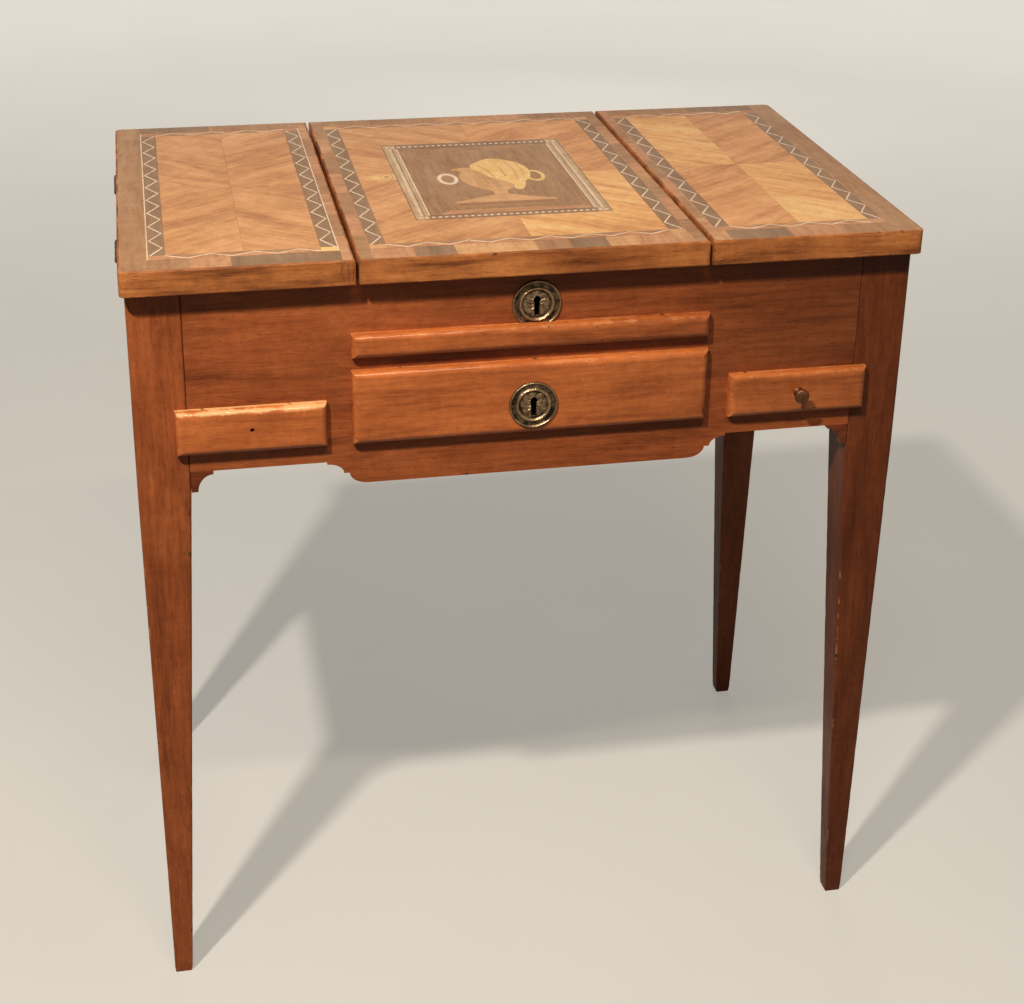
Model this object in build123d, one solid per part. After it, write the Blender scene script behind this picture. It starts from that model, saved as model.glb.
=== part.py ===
from build123d import *
import os

# A dressing table with a three-part top that opens, a writing slide and three drawers.
# Millimetres. +Z is up, +X is right and +Y is the back. The origin is on the floor, under the
# middle of the top.

# Whole table
table_height = 750
table_width = 716
table_depth = 440
top_thickness = 23
side_overhang = 4
front_overhang = 15
rear_overhang = 12

# Top panels
lid_width = 312
leaf_gap = 3
top_corner_radius = 6
top_edge_radius = 1.6
lid_edge_radius = 0.8

# Legs
leg_side = 47
foot_side = 17
foot_outer_inset = 4
leg_corner_radius = 2
foot_edge_radius = 1.2

# Case boards
side_thickness = 18
front_thickness = 20
back_thickness = 16
back_inset = 4
partition_thickness = 15
floor_thickness = 8

# Shaped lower front rail
rail_drop = 23
rail_step = 2.5
rail_cove_width = 15
rail_cove_drop = 9.5
rail_fillet_width = 5
rail_ovolo_width = 17
rail_drop_inset = 4
bracket_width = 20
bracket_height = 20
bracket_flat = 6
bracket_step = 3.5

# Rails and openings of the front, from the top down
upper_rail_height = 52
slide_opening_height = 15.5
middle_rail_height = 21
centre_opening_height = 60
small_opening_height = 32.5
lower_rail_height = 24.5
lid_rest = 3
post_width = 43.5

# Drawers and writing slide
lip_thickness = 9
lip_top_overlap = 4
lip_bottom_overlap = 6
small_lip_side_overlap = 11
centre_lip_side_overlap = 10.2
slide_lip_side_overlap = 10
slide_lip_top_overlap = 2.5
slide_lip_bottom_overlap = 4.5
lip_edge_radius = 6
front_board_thickness = 14
drawer_side_thickness = 8
drawer_back_thickness = 8
drawer_bottom_thickness = 5
drawer_bottom_raise = 4
drawer_back_space = 63
slide_back_space = 53
slide_board_thickness = 14
running_gap = 0.4

# Runners
runner_ledge = 15
runner_height = 8.5
guide_height = 12

# Hinges
hinge_length = 50
knuckle_count = 5
knuckle_radius = 3
knuckle_gap = 0.25
pin_radius = 1.5
pin_clearance = 0.05
wing_thickness = 1.6
wing_width = 17
barrel_clearance = 0.4
leaf_hinge_share = 0.227
lid_hinge_share = 0.32
lid_hinge_setback = 2.5

# Hinge screws
screw_count = 3
screw_pitch = 18
screw_head_radius = 2.6
screw_shank_radius = 1.2
screw_length = 12
screw_clearance = 0.05
screw_sink = 0.1

# Mirror under the lid
mirror_frame_side_margin = 16
mirror_frame_front_gap = 20
mirror_frame_back_gap = 9
mirror_frame_bar = 22
mirror_frame_depth = 8
mirror_thickness = 4
mirror_cover = 4
mirror_clearance = 0.2

# Escutcheons
escutcheon_radius = 22.5
escutcheon_thickness = 1
escutcheon_bead = 1.1
escutcheon_bead_width = 1.8
escutcheon_inner_ring = 16.5
escutcheon_boss_height = 0.7
escutcheon_cut_clearance = 0.3
upper_escutcheon_shift = 3
upper_escutcheon_share = 0.38
lower_escutcheon_share = 0.375
keyhole_radius = 3.2
keyhole_rise = 4.3
keyhole_slot_width = 4.8
keyhole_slot_length = 14.3
pin_head_radius = 1.1
pin_head_height = 0.7
pin_shank_radius = 0.6
pin_shank_length = 8
pin_circle = 19.5

# Locks
lock_depth = 12
lid_lock_width = 50
lid_lock_bottom_gap = 5
lid_lock_top_gap = 1
lid_bolt_drop = 11
lid_bolt_travel = 8
bolt_block_length = 16
bolt_block_depth = 8.4
bolt_block_height = 10
bolt_tongue_depth = 4
bolt_tongue_height = 6
bolt_tongue_length = 8
bolt_clearance = 0.3
staple_thickness = 3
staple_wall = 1.5
staple_plate_length = 34
staple_plate_width = 12
staple_plate_thickness = 1.2
drawer_lock_width = 44
drawer_lock_bottom_gap = 2.6
drawer_lock_top_gap = 2
drawer_bolt_width = 16
drawer_bolt_thickness = 4
drawer_bolt_height = 26
drawer_bolt_travel = 6
drawer_bolt_setback = 0.6
drawer_bolt_drop = 0.8

# Knob
knob_radius = 7
knob_neck_radius = 3.2
knob_foot_radius = 5
knob_length = 13
knob_foot_height = 3.2
knob_neck_height = 6.5
knob_rim_height = 9.5
knob_stem_radius = 2
knob_dome_radius_share = 0.74
knob_dome_height_share = 0.7

# Overrun of every cutting tool, how near an edge must stand to a corner, and a right angle in degrees
overrun = 1
corner_reach = 1
quarter_turn = 90
half_turn = 2 * quarter_turn

# How a disc stands on a plane or hangs under it
on_plane = (Align.CENTER, Align.CENTER, Align.MIN)
under_plane = (Align.CENTER, Align.CENTER, Align.MAX)

# Planes that the pieces share
half_width = table_width / 2
half_depth = table_depth / 2
case_top = table_height - top_thickness
case_side = half_width - side_overhang
case_front = -half_depth + front_overhang
case_back = half_depth - rear_overhang
leg_inner = case_side - leg_side
side_inner = case_side - side_thickness
front_inner = case_front + front_thickness
panel_back = case_back - back_inset
back_inner = panel_back - back_thickness
front_leg_back = case_front + leg_side
rear_leg_front = case_back - leg_side
lid_edge = lid_width / 2
leaf_edge = lid_edge + leaf_gap
partition_inner = lid_edge - lid_rest
partition_outer = partition_inner + partition_thickness
post_outer = partition_inner + post_width
slide_top = case_top - upper_rail_height
slide_floor = slide_top - slide_opening_height
centre_top = slide_floor - middle_rail_height
drawer_rest = centre_top - centre_opening_height
small_top = drawer_rest + small_opening_height
case_bottom = drawer_rest - lower_rail_height
taper_top = case_bottom - bracket_height
case_floor = drawer_rest - runner_height
centre_floor_top = slide_top + floor_thickness
lip_front = case_front - lip_thickness
upper_escutcheon_height = slide_top + upper_rail_height * upper_escutcheon_share
lower_escutcheon_height = drawer_rest + centre_opening_height * lower_escutcheon_share
lid_axis_y = panel_back + lid_hinge_setback
lock_line = front_inner + lock_depth / 2

os.makedirs("parts", exist_ok=True)


def block(x_range, y_range, z_range):
    """A box between three pairs of coordinates, each given in either order."""
    spans = [sorted(pair) for pair in (x_range, y_range, z_range)]
    low = [pair[0] for pair in spans]
    size = [pair[1] - pair[0] for pair in spans]
    return Pos(*low) * Box(*size, align=(Align.MIN, Align.MIN, Align.MIN))


def mirrored(shape):
    """The same piece on the other side of the table."""
    return mirror(shape, about=Plane.YZ)


def save(name, *solids):
    """Writes one node, as a group when it has several solids."""
    shape = solids[0] if len(solids) == 1 else Compound(children=[Part(s.wrapped) for s in solids])
    export_step(shape, os.path.join("parts", name + ".step"))


def vertical_edges(shape, x, y):
    """The upright edges of a shape that stand at one corner of its plan."""
    upright = shape.edges().filter_by(Axis.Z)
    return [e for e in upright if max(abs(e.center().X - x), abs(e.center().Y - y)) < corner_reach]


def along_y(outline, y_start, y_end):
    """A solid pushed along Y from an outline that is drawn in X and Z."""
    face = make_face(Plane((0, y_start, 0), x_dir=(1, 0, 0), z_dir=(0, -1, 0)) * outline)
    return extrude(face, amount=y_end - y_start, dir=(0, 1, 0))


# Legs: a square stile above, tapering to the foot below the brackets
def leg(side, end):
    """One leg. side is -1 left or 1 right, end is -1 front or 1 back."""
    outer_x = side * case_side
    outer_y = case_front if end < 0 else case_back
    centre_x = outer_x - side * leg_side / 2
    centre_y = outer_y - end * leg_side / 2
    stile = block(
        (outer_x, outer_x - side * leg_side), (outer_y, outer_y - end * leg_side), (taper_top, case_top)
    )
    stile = fillet(vertical_edges(stile, outer_x, outer_y), leg_corner_radius)
    inset = foot_outer_inset + foot_side / 2
    foot_x = outer_x - side * inset
    foot_y = outer_y - end * inset
    upper = Pos(centre_x, centre_y, taper_top) * RectangleRounded(leg_side, leg_side, leg_corner_radius)
    lower = Pos(foot_x, foot_y, 0) * RectangleRounded(foot_side, foot_side, foot_edge_radius)
    return stile + loft([lower.face(), upper.face()], ruled=True)


save("leg_front_left", leg(-1, -1))
save("leg_front_right", leg(1, -1))
save("leg_rear_left", leg(-1, 1))
save("leg_rear_right", leg(1, 1))


# Hinges: built along Y with the joint plane at zero and the wings towards +X
knuckle_length = hinge_length / knuckle_count
barrel_reach = knuckle_radius + barrel_clearance
screw_line = (barrel_reach + wing_width) / 2
leaf_hinge_y = table_depth * leaf_hinge_share
lid_hinge_x = lid_width * lid_hinge_share


def screw_places():
    """Where the screws sit along a hinge wing."""
    first = -screw_pitch * (screw_count - 1) / 2
    return [first + index * screw_pitch for index in range(screw_count)]


def screw(towards, clearance=0):
    """A countersunk screw that points down (-1) or up (1). With a clearance it is its own hole."""
    head_radius = screw_head_radius + clearance
    shank_radius = screw_shank_radius + clearance
    head_depth = wing_thickness - screw_sink
    head = Pos(0, 0, -screw_sink - head_depth / 2) * Cone(shank_radius, head_radius, head_depth)
    shank = Pos(0, 0, -wing_thickness - screw_length / 2) * Cylinder(
        shank_radius, screw_length + 2 * clearance
    )
    whole = head + shank
    if clearance:
        whole += Pos(0, 0, -screw_sink / 2) * Cylinder(head_radius, screw_sink)
    return whole if towards < 0 else mirror(whole, about=Plane.XY)


def hinge_wing(towards):
    """One wing: the case's lies under the joint plane (-1), the leaf's above it (1)."""
    wing = block(
        (barrel_reach, wing_width), (-hinge_length / 2, hinge_length / 2), (0, towards * wing_thickness)
    )
    barrel_length = knuckle_length - knuckle_gap
    for index in range(knuckle_count):
        if (index % 2 == 0) == (towards < 0):
            start = -hinge_length / 2 + index * knuckle_length + knuckle_gap / 2
            ends = (start, start + barrel_length)
            wing += block((0, barrel_reach), ends, (0, towards * wing_thickness))
            barrel = Cylinder(knuckle_radius, barrel_length, rotation=(quarter_turn, 0, 0))
            wing += Pos(0, start + barrel_length / 2, 0) * barrel
    wing -= Cylinder(
        pin_radius + pin_clearance, hinge_length + overrun, rotation=(quarter_turn, 0, 0)
    )
    for place in screw_places():
        wing -= Pos(screw_line, place, 0) * screw(towards, screw_clearance)
    return wing


def hinge_screws(towards):
    """The screws of one wing."""
    return [Pos(screw_line, place, 0) * screw(towards) for place in screw_places()]


def hinge_seat(towards, overhang):
    """What the wood loses for one wing: its recess, the barrel's groove and the screw holes."""
    ends = (-hinge_length / 2 - knuckle_gap, hinge_length / 2 + knuckle_gap)
    seat = block((-overhang, wing_width), ends, (0, towards * wing_thickness))
    groove_start = -min(overhang, barrel_reach)
    seat += block((groove_start, barrel_reach), ends, (0, towards * barrel_reach))
    for place in screw_places():
        seat += Pos(screw_line, place, 0) * screw(towards, screw_clearance)
    return seat


hinge_pin = Cylinder(pin_radius, hinge_length, rotation=(quarter_turn, 0, 0))
hinge_places = {
    "left": [Pos(-half_width, end * leaf_hinge_y, case_top) for end in (-1, 1)],
    "right": [Pos(half_width, end * leaf_hinge_y, case_top) * Rot(0, 0, half_turn) for end in (-1, 1)],
    "lid": [Pos(end * lid_hinge_x, lid_axis_y, case_top) * Rot(0, 0, -quarter_turn) for end in (-1, 1)],
}
all_hinges = hinge_places["left"] + hinge_places["right"] + hinge_places["lid"]
case_wing = hinge_wing(-1)
leaf_wing = hinge_wing(1)
save("hinge_case_plates", *[place * case_wing for place in all_hinges])
save("hinge_pins", *[place * hinge_pin for place in all_hinges])
save("hinge_case_screws", *[place * s for place in all_hinges for s in hinge_screws(-1)])
for side_name, node in (("left", "left_leaf"), ("right", "right_leaf"), ("lid", "centre_lid")):
    places = hinge_places[side_name]
    save(node + "_hinge_plates", *[place * leaf_wing for place in places])
    save(node + "_hinge_screws", *[place * s for place in places for s in hinge_screws(1)])


# Case boards
def side_panel(side):
    """The side between the two legs, with the seats of the leaf's hinges in its top edge."""
    board = block(
        (side * case_side, side * side_inner), (front_leg_back, rear_leg_front), (case_bottom, case_top)
    )
    for place in hinge_places["left" if side < 0 else "right"]:
        board -= place * hinge_seat(-1, 0)
    return board


save("side_panel_left", side_panel(-1))
save("side_panel_right", side_panel(1))

back_panel = block((-leg_inner, leg_inner), (back_inner, panel_back), (case_bottom, case_top))
for place in hinge_places["lid"]:
    back_panel -= place * hinge_seat(-1, lid_hinge_setback)
save("back_panel", back_panel)


def front_board():
    """The tall board over a small drawer, left."""
    return block((-leg_inner, -partition_inner), (case_front, front_inner), (small_top, case_top))


save("front_board_left", front_board())
save("front_board_right", mirrored(front_board()))


def keyhole(height, y_start, y_end):
    """A keyhole cut along Y, round above with a slot below, for a plate centred at the height."""
    middle = (y_start + y_end) / 2
    eye_z = height + keyhole_rise
    depth = abs(y_end - y_start)
    eye = Cylinder(keyhole_radius, depth, rotation=(quarter_turn, 0, 0))
    slot = block(
        (-keyhole_slot_width / 2, keyhole_slot_width / 2),
        (y_start, y_end),
        (eye_z, eye_z - keyhole_slot_length),
    )
    return Pos(0, middle, eye_z) * eye + slot


def escutcheon_pin_holes(surface, height):
    """The two holes that an escutcheon's pins leave in the wood behind it."""
    hole = Cylinder(
        pin_shank_radius + screw_clearance, 2 * pin_shank_length, rotation=(quarter_turn, 0, 0)
    )
    return [Pos(side * pin_circle, surface, height) * hole for side in (-1, 1)]


upper_place = Pos(upper_escutcheon_shift, 0, 0)
upper_rail = block(
    (-partition_inner, partition_inner), (case_front, front_inner), (slide_top, case_top)
)
upper_rail -= upper_place * keyhole(upper_escutcheon_height, case_front - overrun, front_inner + overrun)
upper_rail -= [upper_place * hole for hole in escutcheon_pin_holes(case_front, upper_escutcheon_height)]
save("upper_front_rail", upper_rail)

bolt_half_width = drawer_bolt_width / 2
bolt_front = front_inner - drawer_bolt_thickness - drawer_bolt_setback
middle_rail = block(
    (-partition_inner, partition_inner), (case_front, front_inner), (centre_top, slide_floor)
)
middle_rail -= block(
    (-bolt_half_width - bolt_clearance, bolt_half_width + bolt_clearance),
    (bolt_front - bolt_clearance, front_inner),
    (centre_top, centre_top + drawer_bolt_travel + bolt_clearance + overrun),
)
save("middle_front_rail", middle_rail)


def divider_post():
    """The short post between a small drawer and the middle drawer, left."""
    return block((-post_outer, -partition_inner), (case_front, front_inner), (drawer_rest, small_top))


save("divider_posts", divider_post(), mirrored(divider_post()))


def lower_rail():
    """The rail under the drawers. Its lower edge steps down under the middle drawer."""
    ovolo_end = partition_inner - rail_drop_inset
    ovolo_start = ovolo_end + rail_ovolo_width
    cove_end = ovolo_start + rail_fillet_width
    cove_start = cove_end + rail_cove_width
    step_z = case_bottom - rail_step
    cove_z = step_z - rail_cove_drop
    bottom_z = case_bottom - rail_drop
    right = (
        Line((leg_inner, case_bottom), (cove_start, case_bottom))
        + Line((cove_start, case_bottom), (cove_start, step_z))
        + EllipticalCenterArc((cove_start, cove_z), rail_cove_width, rail_cove_drop, quarter_turn)
        + Line((cove_end, cove_z), (ovolo_start, cove_z))
        + EllipticalCenterArc((ovolo_end, cove_z), rail_ovolo_width, cove_z - bottom_z, -quarter_turn)
        + Line((ovolo_end, bottom_z), (0, bottom_z))
        + Line((0, bottom_z), (0, drawer_rest))
        + Line((0, drawer_rest), (leg_inner, drawer_rest))
        + Line((leg_inner, drawer_rest), (leg_inner, case_bottom))
    )
    half = along_y(right, case_front, front_inner)
    return half + mirrored(half)


save("lower_front_rail", lower_rail())


def bracket():
    """The small corner bracket under the rail beside the left leg."""
    inner = -leg_inner
    flat_end = inner + bracket_flat
    outer_end = inner + bracket_width
    cove_top = case_bottom - bracket_step
    outline = (
        Line((inner, case_bottom), (inner, taper_top))
        + Line((inner, taper_top), (flat_end, taper_top))
        + EllipticalCenterArc(
            (outer_end, taper_top), outer_end - flat_end, cove_top - taper_top, quarter_turn
        )
        + Line((outer_end, cove_top), (outer_end, case_bottom))
        + Line((outer_end, case_bottom), (inner, case_bottom))
    )
    return along_y(outline, case_front, front_inner)


save("front_brackets", bracket(), mirrored(bracket()))


def partition():
    """The upright board under the gap between the left leaf and the lid."""
    return block(
        (-partition_outer, -partition_inner), (front_inner, back_inner), (case_floor, case_top)
    )


save("partition_left", partition())
save("partition_right", mirrored(partition()))


def well_floor():
    """The floor of the left well, notched round the legs."""
    board = block(
        (-side_inner, -partition_outer),
        (front_inner, back_inner),
        (small_top, small_top + floor_thickness),
    )
    board -= block(
        (-case_side, -leg_inner), (case_front, front_leg_back), (small_top - overrun, case_top)
    )
    board -= block(
        (-case_side, -leg_inner), (rear_leg_front, case_back), (small_top - overrun, case_top)
    )
    return board


save("left_well_floor", well_floor())
save("right_well_floor", mirrored(well_floor()))

save(
    "centre_floor",
    block(
        (-partition_inner, partition_inner), (front_inner, back_inner), (slide_top, centre_floor_top)
    ),
)


def outer_runner():
    """The ledge and the guide of the left drawer on the side panel."""
    ledge = block(
        (-side_inner, -leg_inner + runner_ledge),
        (front_leg_back, rear_leg_front),
        (case_floor, drawer_rest),
    )
    guide = block(
        (-side_inner, -leg_inner),
        (front_leg_back, rear_leg_front),
        (drawer_rest, drawer_rest + guide_height),
    )
    return ledge, guide


def inner_runner():
    """The ledge and the guide of the left drawer on the partition."""
    ledge = block(
        (-post_outer - runner_ledge, -partition_outer),
        (front_inner, back_inner),
        (case_floor, drawer_rest),
    )
    guide = block(
        (-post_outer, -partition_outer),
        (front_inner, back_inner),
        (drawer_rest, drawer_rest + guide_height),
    )
    return ledge, guide


left_runners = [*outer_runner(), *inner_runner()]
save("small_drawer_runners", *left_runners, *[mirrored(piece) for piece in left_runners])


def centre_runner(top):
    """A ledge on the inner face of the left partition."""
    return block(
        (-partition_inner, -partition_inner + runner_ledge),
        (front_inner, back_inner),
        (top - runner_height, top),
    )


save("centre_drawer_runners", centre_runner(drawer_rest), mirrored(centre_runner(drawer_rest)))
save("slide_runners", centre_runner(slide_floor), mirrored(centre_runner(slide_floor)))


# Top panels
def top_panel(x_range):
    """One of the three panels of the top, with softened edges."""
    panel = block(x_range, (-half_depth, half_depth), (case_top, table_height))
    for x in x_range:
        for y in (-half_depth, half_depth):
            if abs(x) == half_width:
                panel = fillet(vertical_edges(panel, x, y), top_corner_radius)
    panel = fillet(panel.faces().sort_by(Axis.Z)[-1].edges(), top_edge_radius)
    return fillet(panel.faces().sort_by(Axis.Z)[0].edges(), lid_edge_radius)


def leaf():
    """The left leaf."""
    panel = top_panel((-half_width, -leaf_edge))
    for place in hinge_places["left"]:
        panel -= place * hinge_seat(1, overrun)
    return panel


save("left_leaf", leaf())
save("right_leaf", mirrored(leaf()))

# The lid has the seats of its hinges and of the staple plate, which drops into the lock
staple_line = lock_line
staple_x = (bolt_tongue_length + lid_bolt_travel - staple_thickness) / 2
lid = top_panel((-lid_edge, lid_edge))
for place in hinge_places["lid"]:
    lid -= place * hinge_seat(1, barrel_reach)
lid -= block(
    (-staple_plate_length / 2, staple_plate_length / 2),
    (staple_line - staple_plate_width / 2, staple_line + staple_plate_width / 2),
    (case_top - overrun, case_top + staple_plate_thickness),
)
save("centre_lid", lid)

lid_bolt_height = case_top - lid_bolt_drop
staple_slot_half = bolt_tongue_depth / 2 + bolt_clearance
staple_slot_low = lid_bolt_height - bolt_tongue_height / 2 - bolt_clearance
staple_slot_high = lid_bolt_height + bolt_tongue_height / 2 + bolt_clearance
staple = block(
    (staple_x, staple_x + staple_thickness),
    (staple_line - bolt_block_depth / 2, staple_line + bolt_block_depth / 2),
    (staple_slot_low - staple_wall, case_top),
)
staple -= block(
    (staple_x - overrun, staple_x + staple_thickness + overrun),
    (staple_line - staple_slot_half, staple_line + staple_slot_half),
    (staple_slot_low, staple_slot_high),
)
staple += block(
    (-staple_plate_length / 2, staple_plate_length / 2),
    (staple_line - staple_plate_width / 2, staple_line + staple_plate_width / 2),
    (case_top, case_top + staple_plate_thickness),
)
save("lid_staple_plate", staple)

# Mirror in a moulded frame under the lid
frame_half = lid_edge - mirror_frame_side_margin
frame_start = front_inner + mirror_frame_front_gap
frame_end = back_inner - mirror_frame_back_gap
glass_half = frame_half - mirror_frame_bar + mirror_cover
glass_start = frame_start + mirror_frame_bar - mirror_cover
glass_end = frame_end - mirror_frame_bar + mirror_cover
mirror_frame = block(
    (-frame_half, frame_half), (frame_start, frame_end), (case_top - mirror_frame_depth, case_top)
)
mirror_frame -= block(
    (-glass_half + mirror_cover, glass_half - mirror_cover),
    (glass_start + mirror_cover, glass_end - mirror_cover),
    (case_top - mirror_frame_depth - overrun, case_top + overrun),
)
mirror_frame = chamfer(mirror_frame.faces().sort_by(Axis.Z)[0].edges(), mirror_cover / 2)
mirror_frame -= block(
    (-glass_half - mirror_clearance, glass_half + mirror_clearance),
    (glass_start - mirror_clearance, glass_end + mirror_clearance),
    (case_top - mirror_thickness, case_top + overrun),
)
save("mirror_frame", mirror_frame)
save(
    "mirror_glass",
    block((-glass_half, glass_half), (glass_start, glass_end), (case_top - mirror_thickness, case_top)),
)


# Drawers
def drawer_front(x_range, z_range, side_overlap):
    """A front with a rounded lip that covers the edges of its opening."""
    low_x, high_x = x_range
    low_z, high_z = z_range
    lip = block(
        (low_x - side_overlap, high_x + side_overlap),
        (lip_front, case_front),
        (low_z - lip_bottom_overlap, high_z + lip_top_overlap),
    )
    lip = fillet(lip.faces().sort_by(Axis.Y)[0].edges(), lip_edge_radius)
    board = block(
        (low_x + running_gap, high_x - running_gap),
        (case_front, case_front + front_board_thickness),
        (low_z + running_gap, high_z - running_gap),
    )
    return lip + board


def drawer_box(x_range, z_range):
    """The two sides, the back and the bottom behind a drawer front."""
    low_x, high_x = x_range[0] + running_gap, x_range[1] - running_gap
    low_z, high_z = z_range[0] + running_gap, z_range[1] - running_gap
    start = case_front + front_board_thickness
    end = back_inner - drawer_back_space
    inner_low, inner_high = low_x + drawer_side_thickness, high_x - drawer_side_thickness
    sides = [
        block((low_x, inner_low), (start, end), (low_z, high_z)),
        block((inner_high, high_x), (start, end), (low_z, high_z)),
    ]
    back = block((inner_low, inner_high), (end - drawer_back_thickness, end), (low_z, high_z))
    floor_z = low_z + drawer_bottom_raise
    bottom = block(
        (inner_low, inner_high),
        (start, end - drawer_back_thickness),
        (floor_z, floor_z + drawer_bottom_thickness),
    )
    return sides, back, bottom


small_z = (drawer_rest, small_top)
left_x = (-leg_inner, -post_outer)
small_knob_x = (leg_inner + post_outer) / 2
small_knob_z = (drawer_rest + small_top) / 2
knob_stem_length = lip_thickness + front_board_thickness
knob_hole = Cylinder(
    knob_stem_radius + pin_clearance, knob_stem_length + 2 * overrun, rotation=(quarter_turn, 0, 0)
)
knob_hole = Pos(-small_knob_x, lip_front + knob_stem_length / 2, small_knob_z) * knob_hole
small_front = drawer_front(left_x, small_z, small_lip_side_overlap) - knob_hole
small_sides, small_back, small_bottom = drawer_box(left_x, small_z)
save("left_drawer_front", small_front)
save("left_drawer_sides", *small_sides)
save("left_drawer_back", small_back)
save("left_drawer_bottom", small_bottom)
save("right_drawer_front", mirrored(small_front))
save("right_drawer_sides", *[mirrored(s) for s in small_sides])
save("right_drawer_back", mirrored(small_back))
save("right_drawer_bottom", mirrored(small_bottom))

# The knob is turned about its own axis, with a stem through the drawer front
knob_dome_point = (
    knob_radius * knob_dome_radius_share,
    knob_rim_height + (knob_length - knob_rim_height) * knob_dome_height_share,
)
knob_dome = Spline(
    (knob_radius, knob_rim_height), knob_dome_point, (0, knob_length), tangents=((0, 1), (-1, 0))
)
knob_profile = (
    Line((0, -knob_stem_length), (knob_stem_radius, -knob_stem_length))
    + Line((knob_stem_radius, -knob_stem_length), (knob_stem_radius, 0))
    + Line((knob_stem_radius, 0), (knob_foot_radius, 0))
    + Line((knob_foot_radius, 0), (knob_neck_radius, knob_foot_height))
    + Line((knob_neck_radius, knob_foot_height), (knob_neck_radius, knob_neck_height))
    + Line((knob_neck_radius, knob_neck_height), (knob_radius, knob_rim_height))
    + knob_dome
    + Line((0, knob_length), (0, -knob_stem_length))
)
knob = revolve(make_face(Plane.XZ * knob_profile), axis=Axis.Z)
knob = Pos(small_knob_x, lip_front, small_knob_z) * Rot(quarter_turn, 0, 0) * knob
save("right_drawer_knob", knob)

centre_x = (-partition_inner, partition_inner)
centre_z = (drawer_rest, centre_top)
centre_front = drawer_front(centre_x, centre_z, centre_lip_side_overlap)
centre_front -= keyhole(
    lower_escutcheon_height, lip_front - overrun, case_front + front_board_thickness + overrun
)
centre_front -= escutcheon_pin_holes(lip_front, lower_escutcheon_height)
centre_sides, centre_back, centre_bottom = drawer_box(centre_x, centre_z)
save("centre_drawer_front", centre_front)
save("centre_drawer_sides", *centre_sides)
save("centre_drawer_back", centre_back)
save("centre_drawer_bottom", centre_bottom)

# Writing slide
slide_half = partition_inner - running_gap
slide_board_low = slide_floor + running_gap
save(
    "writing_slide_board",
    block(
        (-slide_half, slide_half),
        (case_front, back_inner - slide_back_space),
        (slide_board_low, slide_board_low + slide_board_thickness),
    ),
)
slide_lip_half = partition_inner + slide_lip_side_overlap
slide_lip_top = slide_top + slide_lip_top_overlap
slide_lip_low = slide_floor - slide_lip_bottom_overlap
slide_front = block(
    (-slide_lip_half, slide_lip_half), (lip_front, case_front), (slide_lip_low, slide_lip_top)
)
slide_front = fillet(slide_front.faces().sort_by(Axis.Y)[0].edges(), lip_edge_radius)
save("writing_slide_front", slide_front)


# Escutcheons: a disc with a beaded rim, an inner ring and a low boss
def escutcheon():
    """A stamped round plate that faces -Y with its back at the origin."""
    disc = Cylinder(escutcheon_radius, escutcheon_thickness, align=on_plane)
    for radius in (escutcheon_radius, escutcheon_inner_ring + escutcheon_bead_width):
        ring = Cylinder(radius, escutcheon_bead, align=on_plane)
        ring -= Cylinder(radius - escutcheon_bead_width, escutcheon_bead, align=on_plane)
        disc += Pos(0, 0, escutcheon_thickness) * ring
    boss = Cylinder(escutcheon_inner_ring, escutcheon_boss_height, align=on_plane)
    disc += Pos(0, 0, escutcheon_thickness) * boss
    return Rot(quarter_turn, 0, 0) * disc - escutcheon_pin_holes(0, 0)


def escutcheon_pins(surface, height):
    """The two small pins of an escutcheon."""
    pin = Cylinder(pin_head_radius, pin_head_height, align=on_plane)
    pin += Cylinder(pin_shank_radius, pin_shank_length, align=under_plane)
    pin = Rot(quarter_turn, 0, 0) * Pos(0, 0, escutcheon_thickness) * pin
    return [Pos(side * pin_circle, surface, height) * pin for side in (-1, 1)]


escutcheon_reach = escutcheon_thickness + escutcheon_bead + overrun
upper_escutcheon = Pos(0, case_front, upper_escutcheon_height) * escutcheon()
upper_escutcheon -= keyhole(upper_escutcheon_height, case_front, case_front - escutcheon_reach)
upper_escutcheon = upper_place * upper_escutcheon
upper_escutcheon -= block(
    (-half_width, half_width),
    (case_front, case_front - escutcheon_reach),
    (case_bottom, slide_lip_top + escutcheon_cut_clearance),
)
save("upper_escutcheon", upper_escutcheon)
lower_escutcheon = Pos(0, lip_front, lower_escutcheon_height) * escutcheon()
lower_escutcheon -= keyhole(lower_escutcheon_height, lip_front, lip_front - escutcheon_reach)
save("lower_escutcheon", lower_escutcheon)
upper_pins = escutcheon_pins(case_front, upper_escutcheon_height)
save("upper_escutcheon_pins", *[upper_place * pin for pin in upper_pins])
save("lower_escutcheon_pins", *escutcheon_pins(lip_front, lower_escutcheon_height))

# Lid lock: its bolt slides sideways through the staple that hangs from the lid
bolt_x = -bolt_tongue_length / 2
channel_half_depth = bolt_block_depth / 2 + bolt_clearance
channel_low = lid_bolt_height - bolt_block_height / 2 - bolt_clearance
channel_high = lid_bolt_height + bolt_block_height / 2 + bolt_clearance
lock_top = case_top - lid_lock_top_gap
lock_case = block(
    (-lid_lock_width / 2, lid_lock_width / 2),
    (front_inner, front_inner + lock_depth),
    (centre_floor_top + lid_lock_bottom_gap, lock_top),
)
lock_case -= block(
    (bolt_x - bolt_block_length - bolt_clearance, -bolt_x + lid_bolt_travel + bolt_clearance),
    (lock_line - channel_half_depth, lock_line + channel_half_depth),
    (channel_low, channel_high),
)
lock_case -= block(
    (staple_x - bolt_clearance, staple_x + staple_thickness + bolt_clearance),
    (lock_line - channel_half_depth, lock_line + channel_half_depth),
    (channel_low, lock_top + overrun),
)
save("lid_lock_case", lock_case)
lid_bolt = block(
    (bolt_x - bolt_block_length, bolt_x),
    (lock_line - bolt_block_depth / 2, lock_line + bolt_block_depth / 2),
    (lid_bolt_height - bolt_block_height / 2, lid_bolt_height + bolt_block_height / 2),
)
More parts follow.
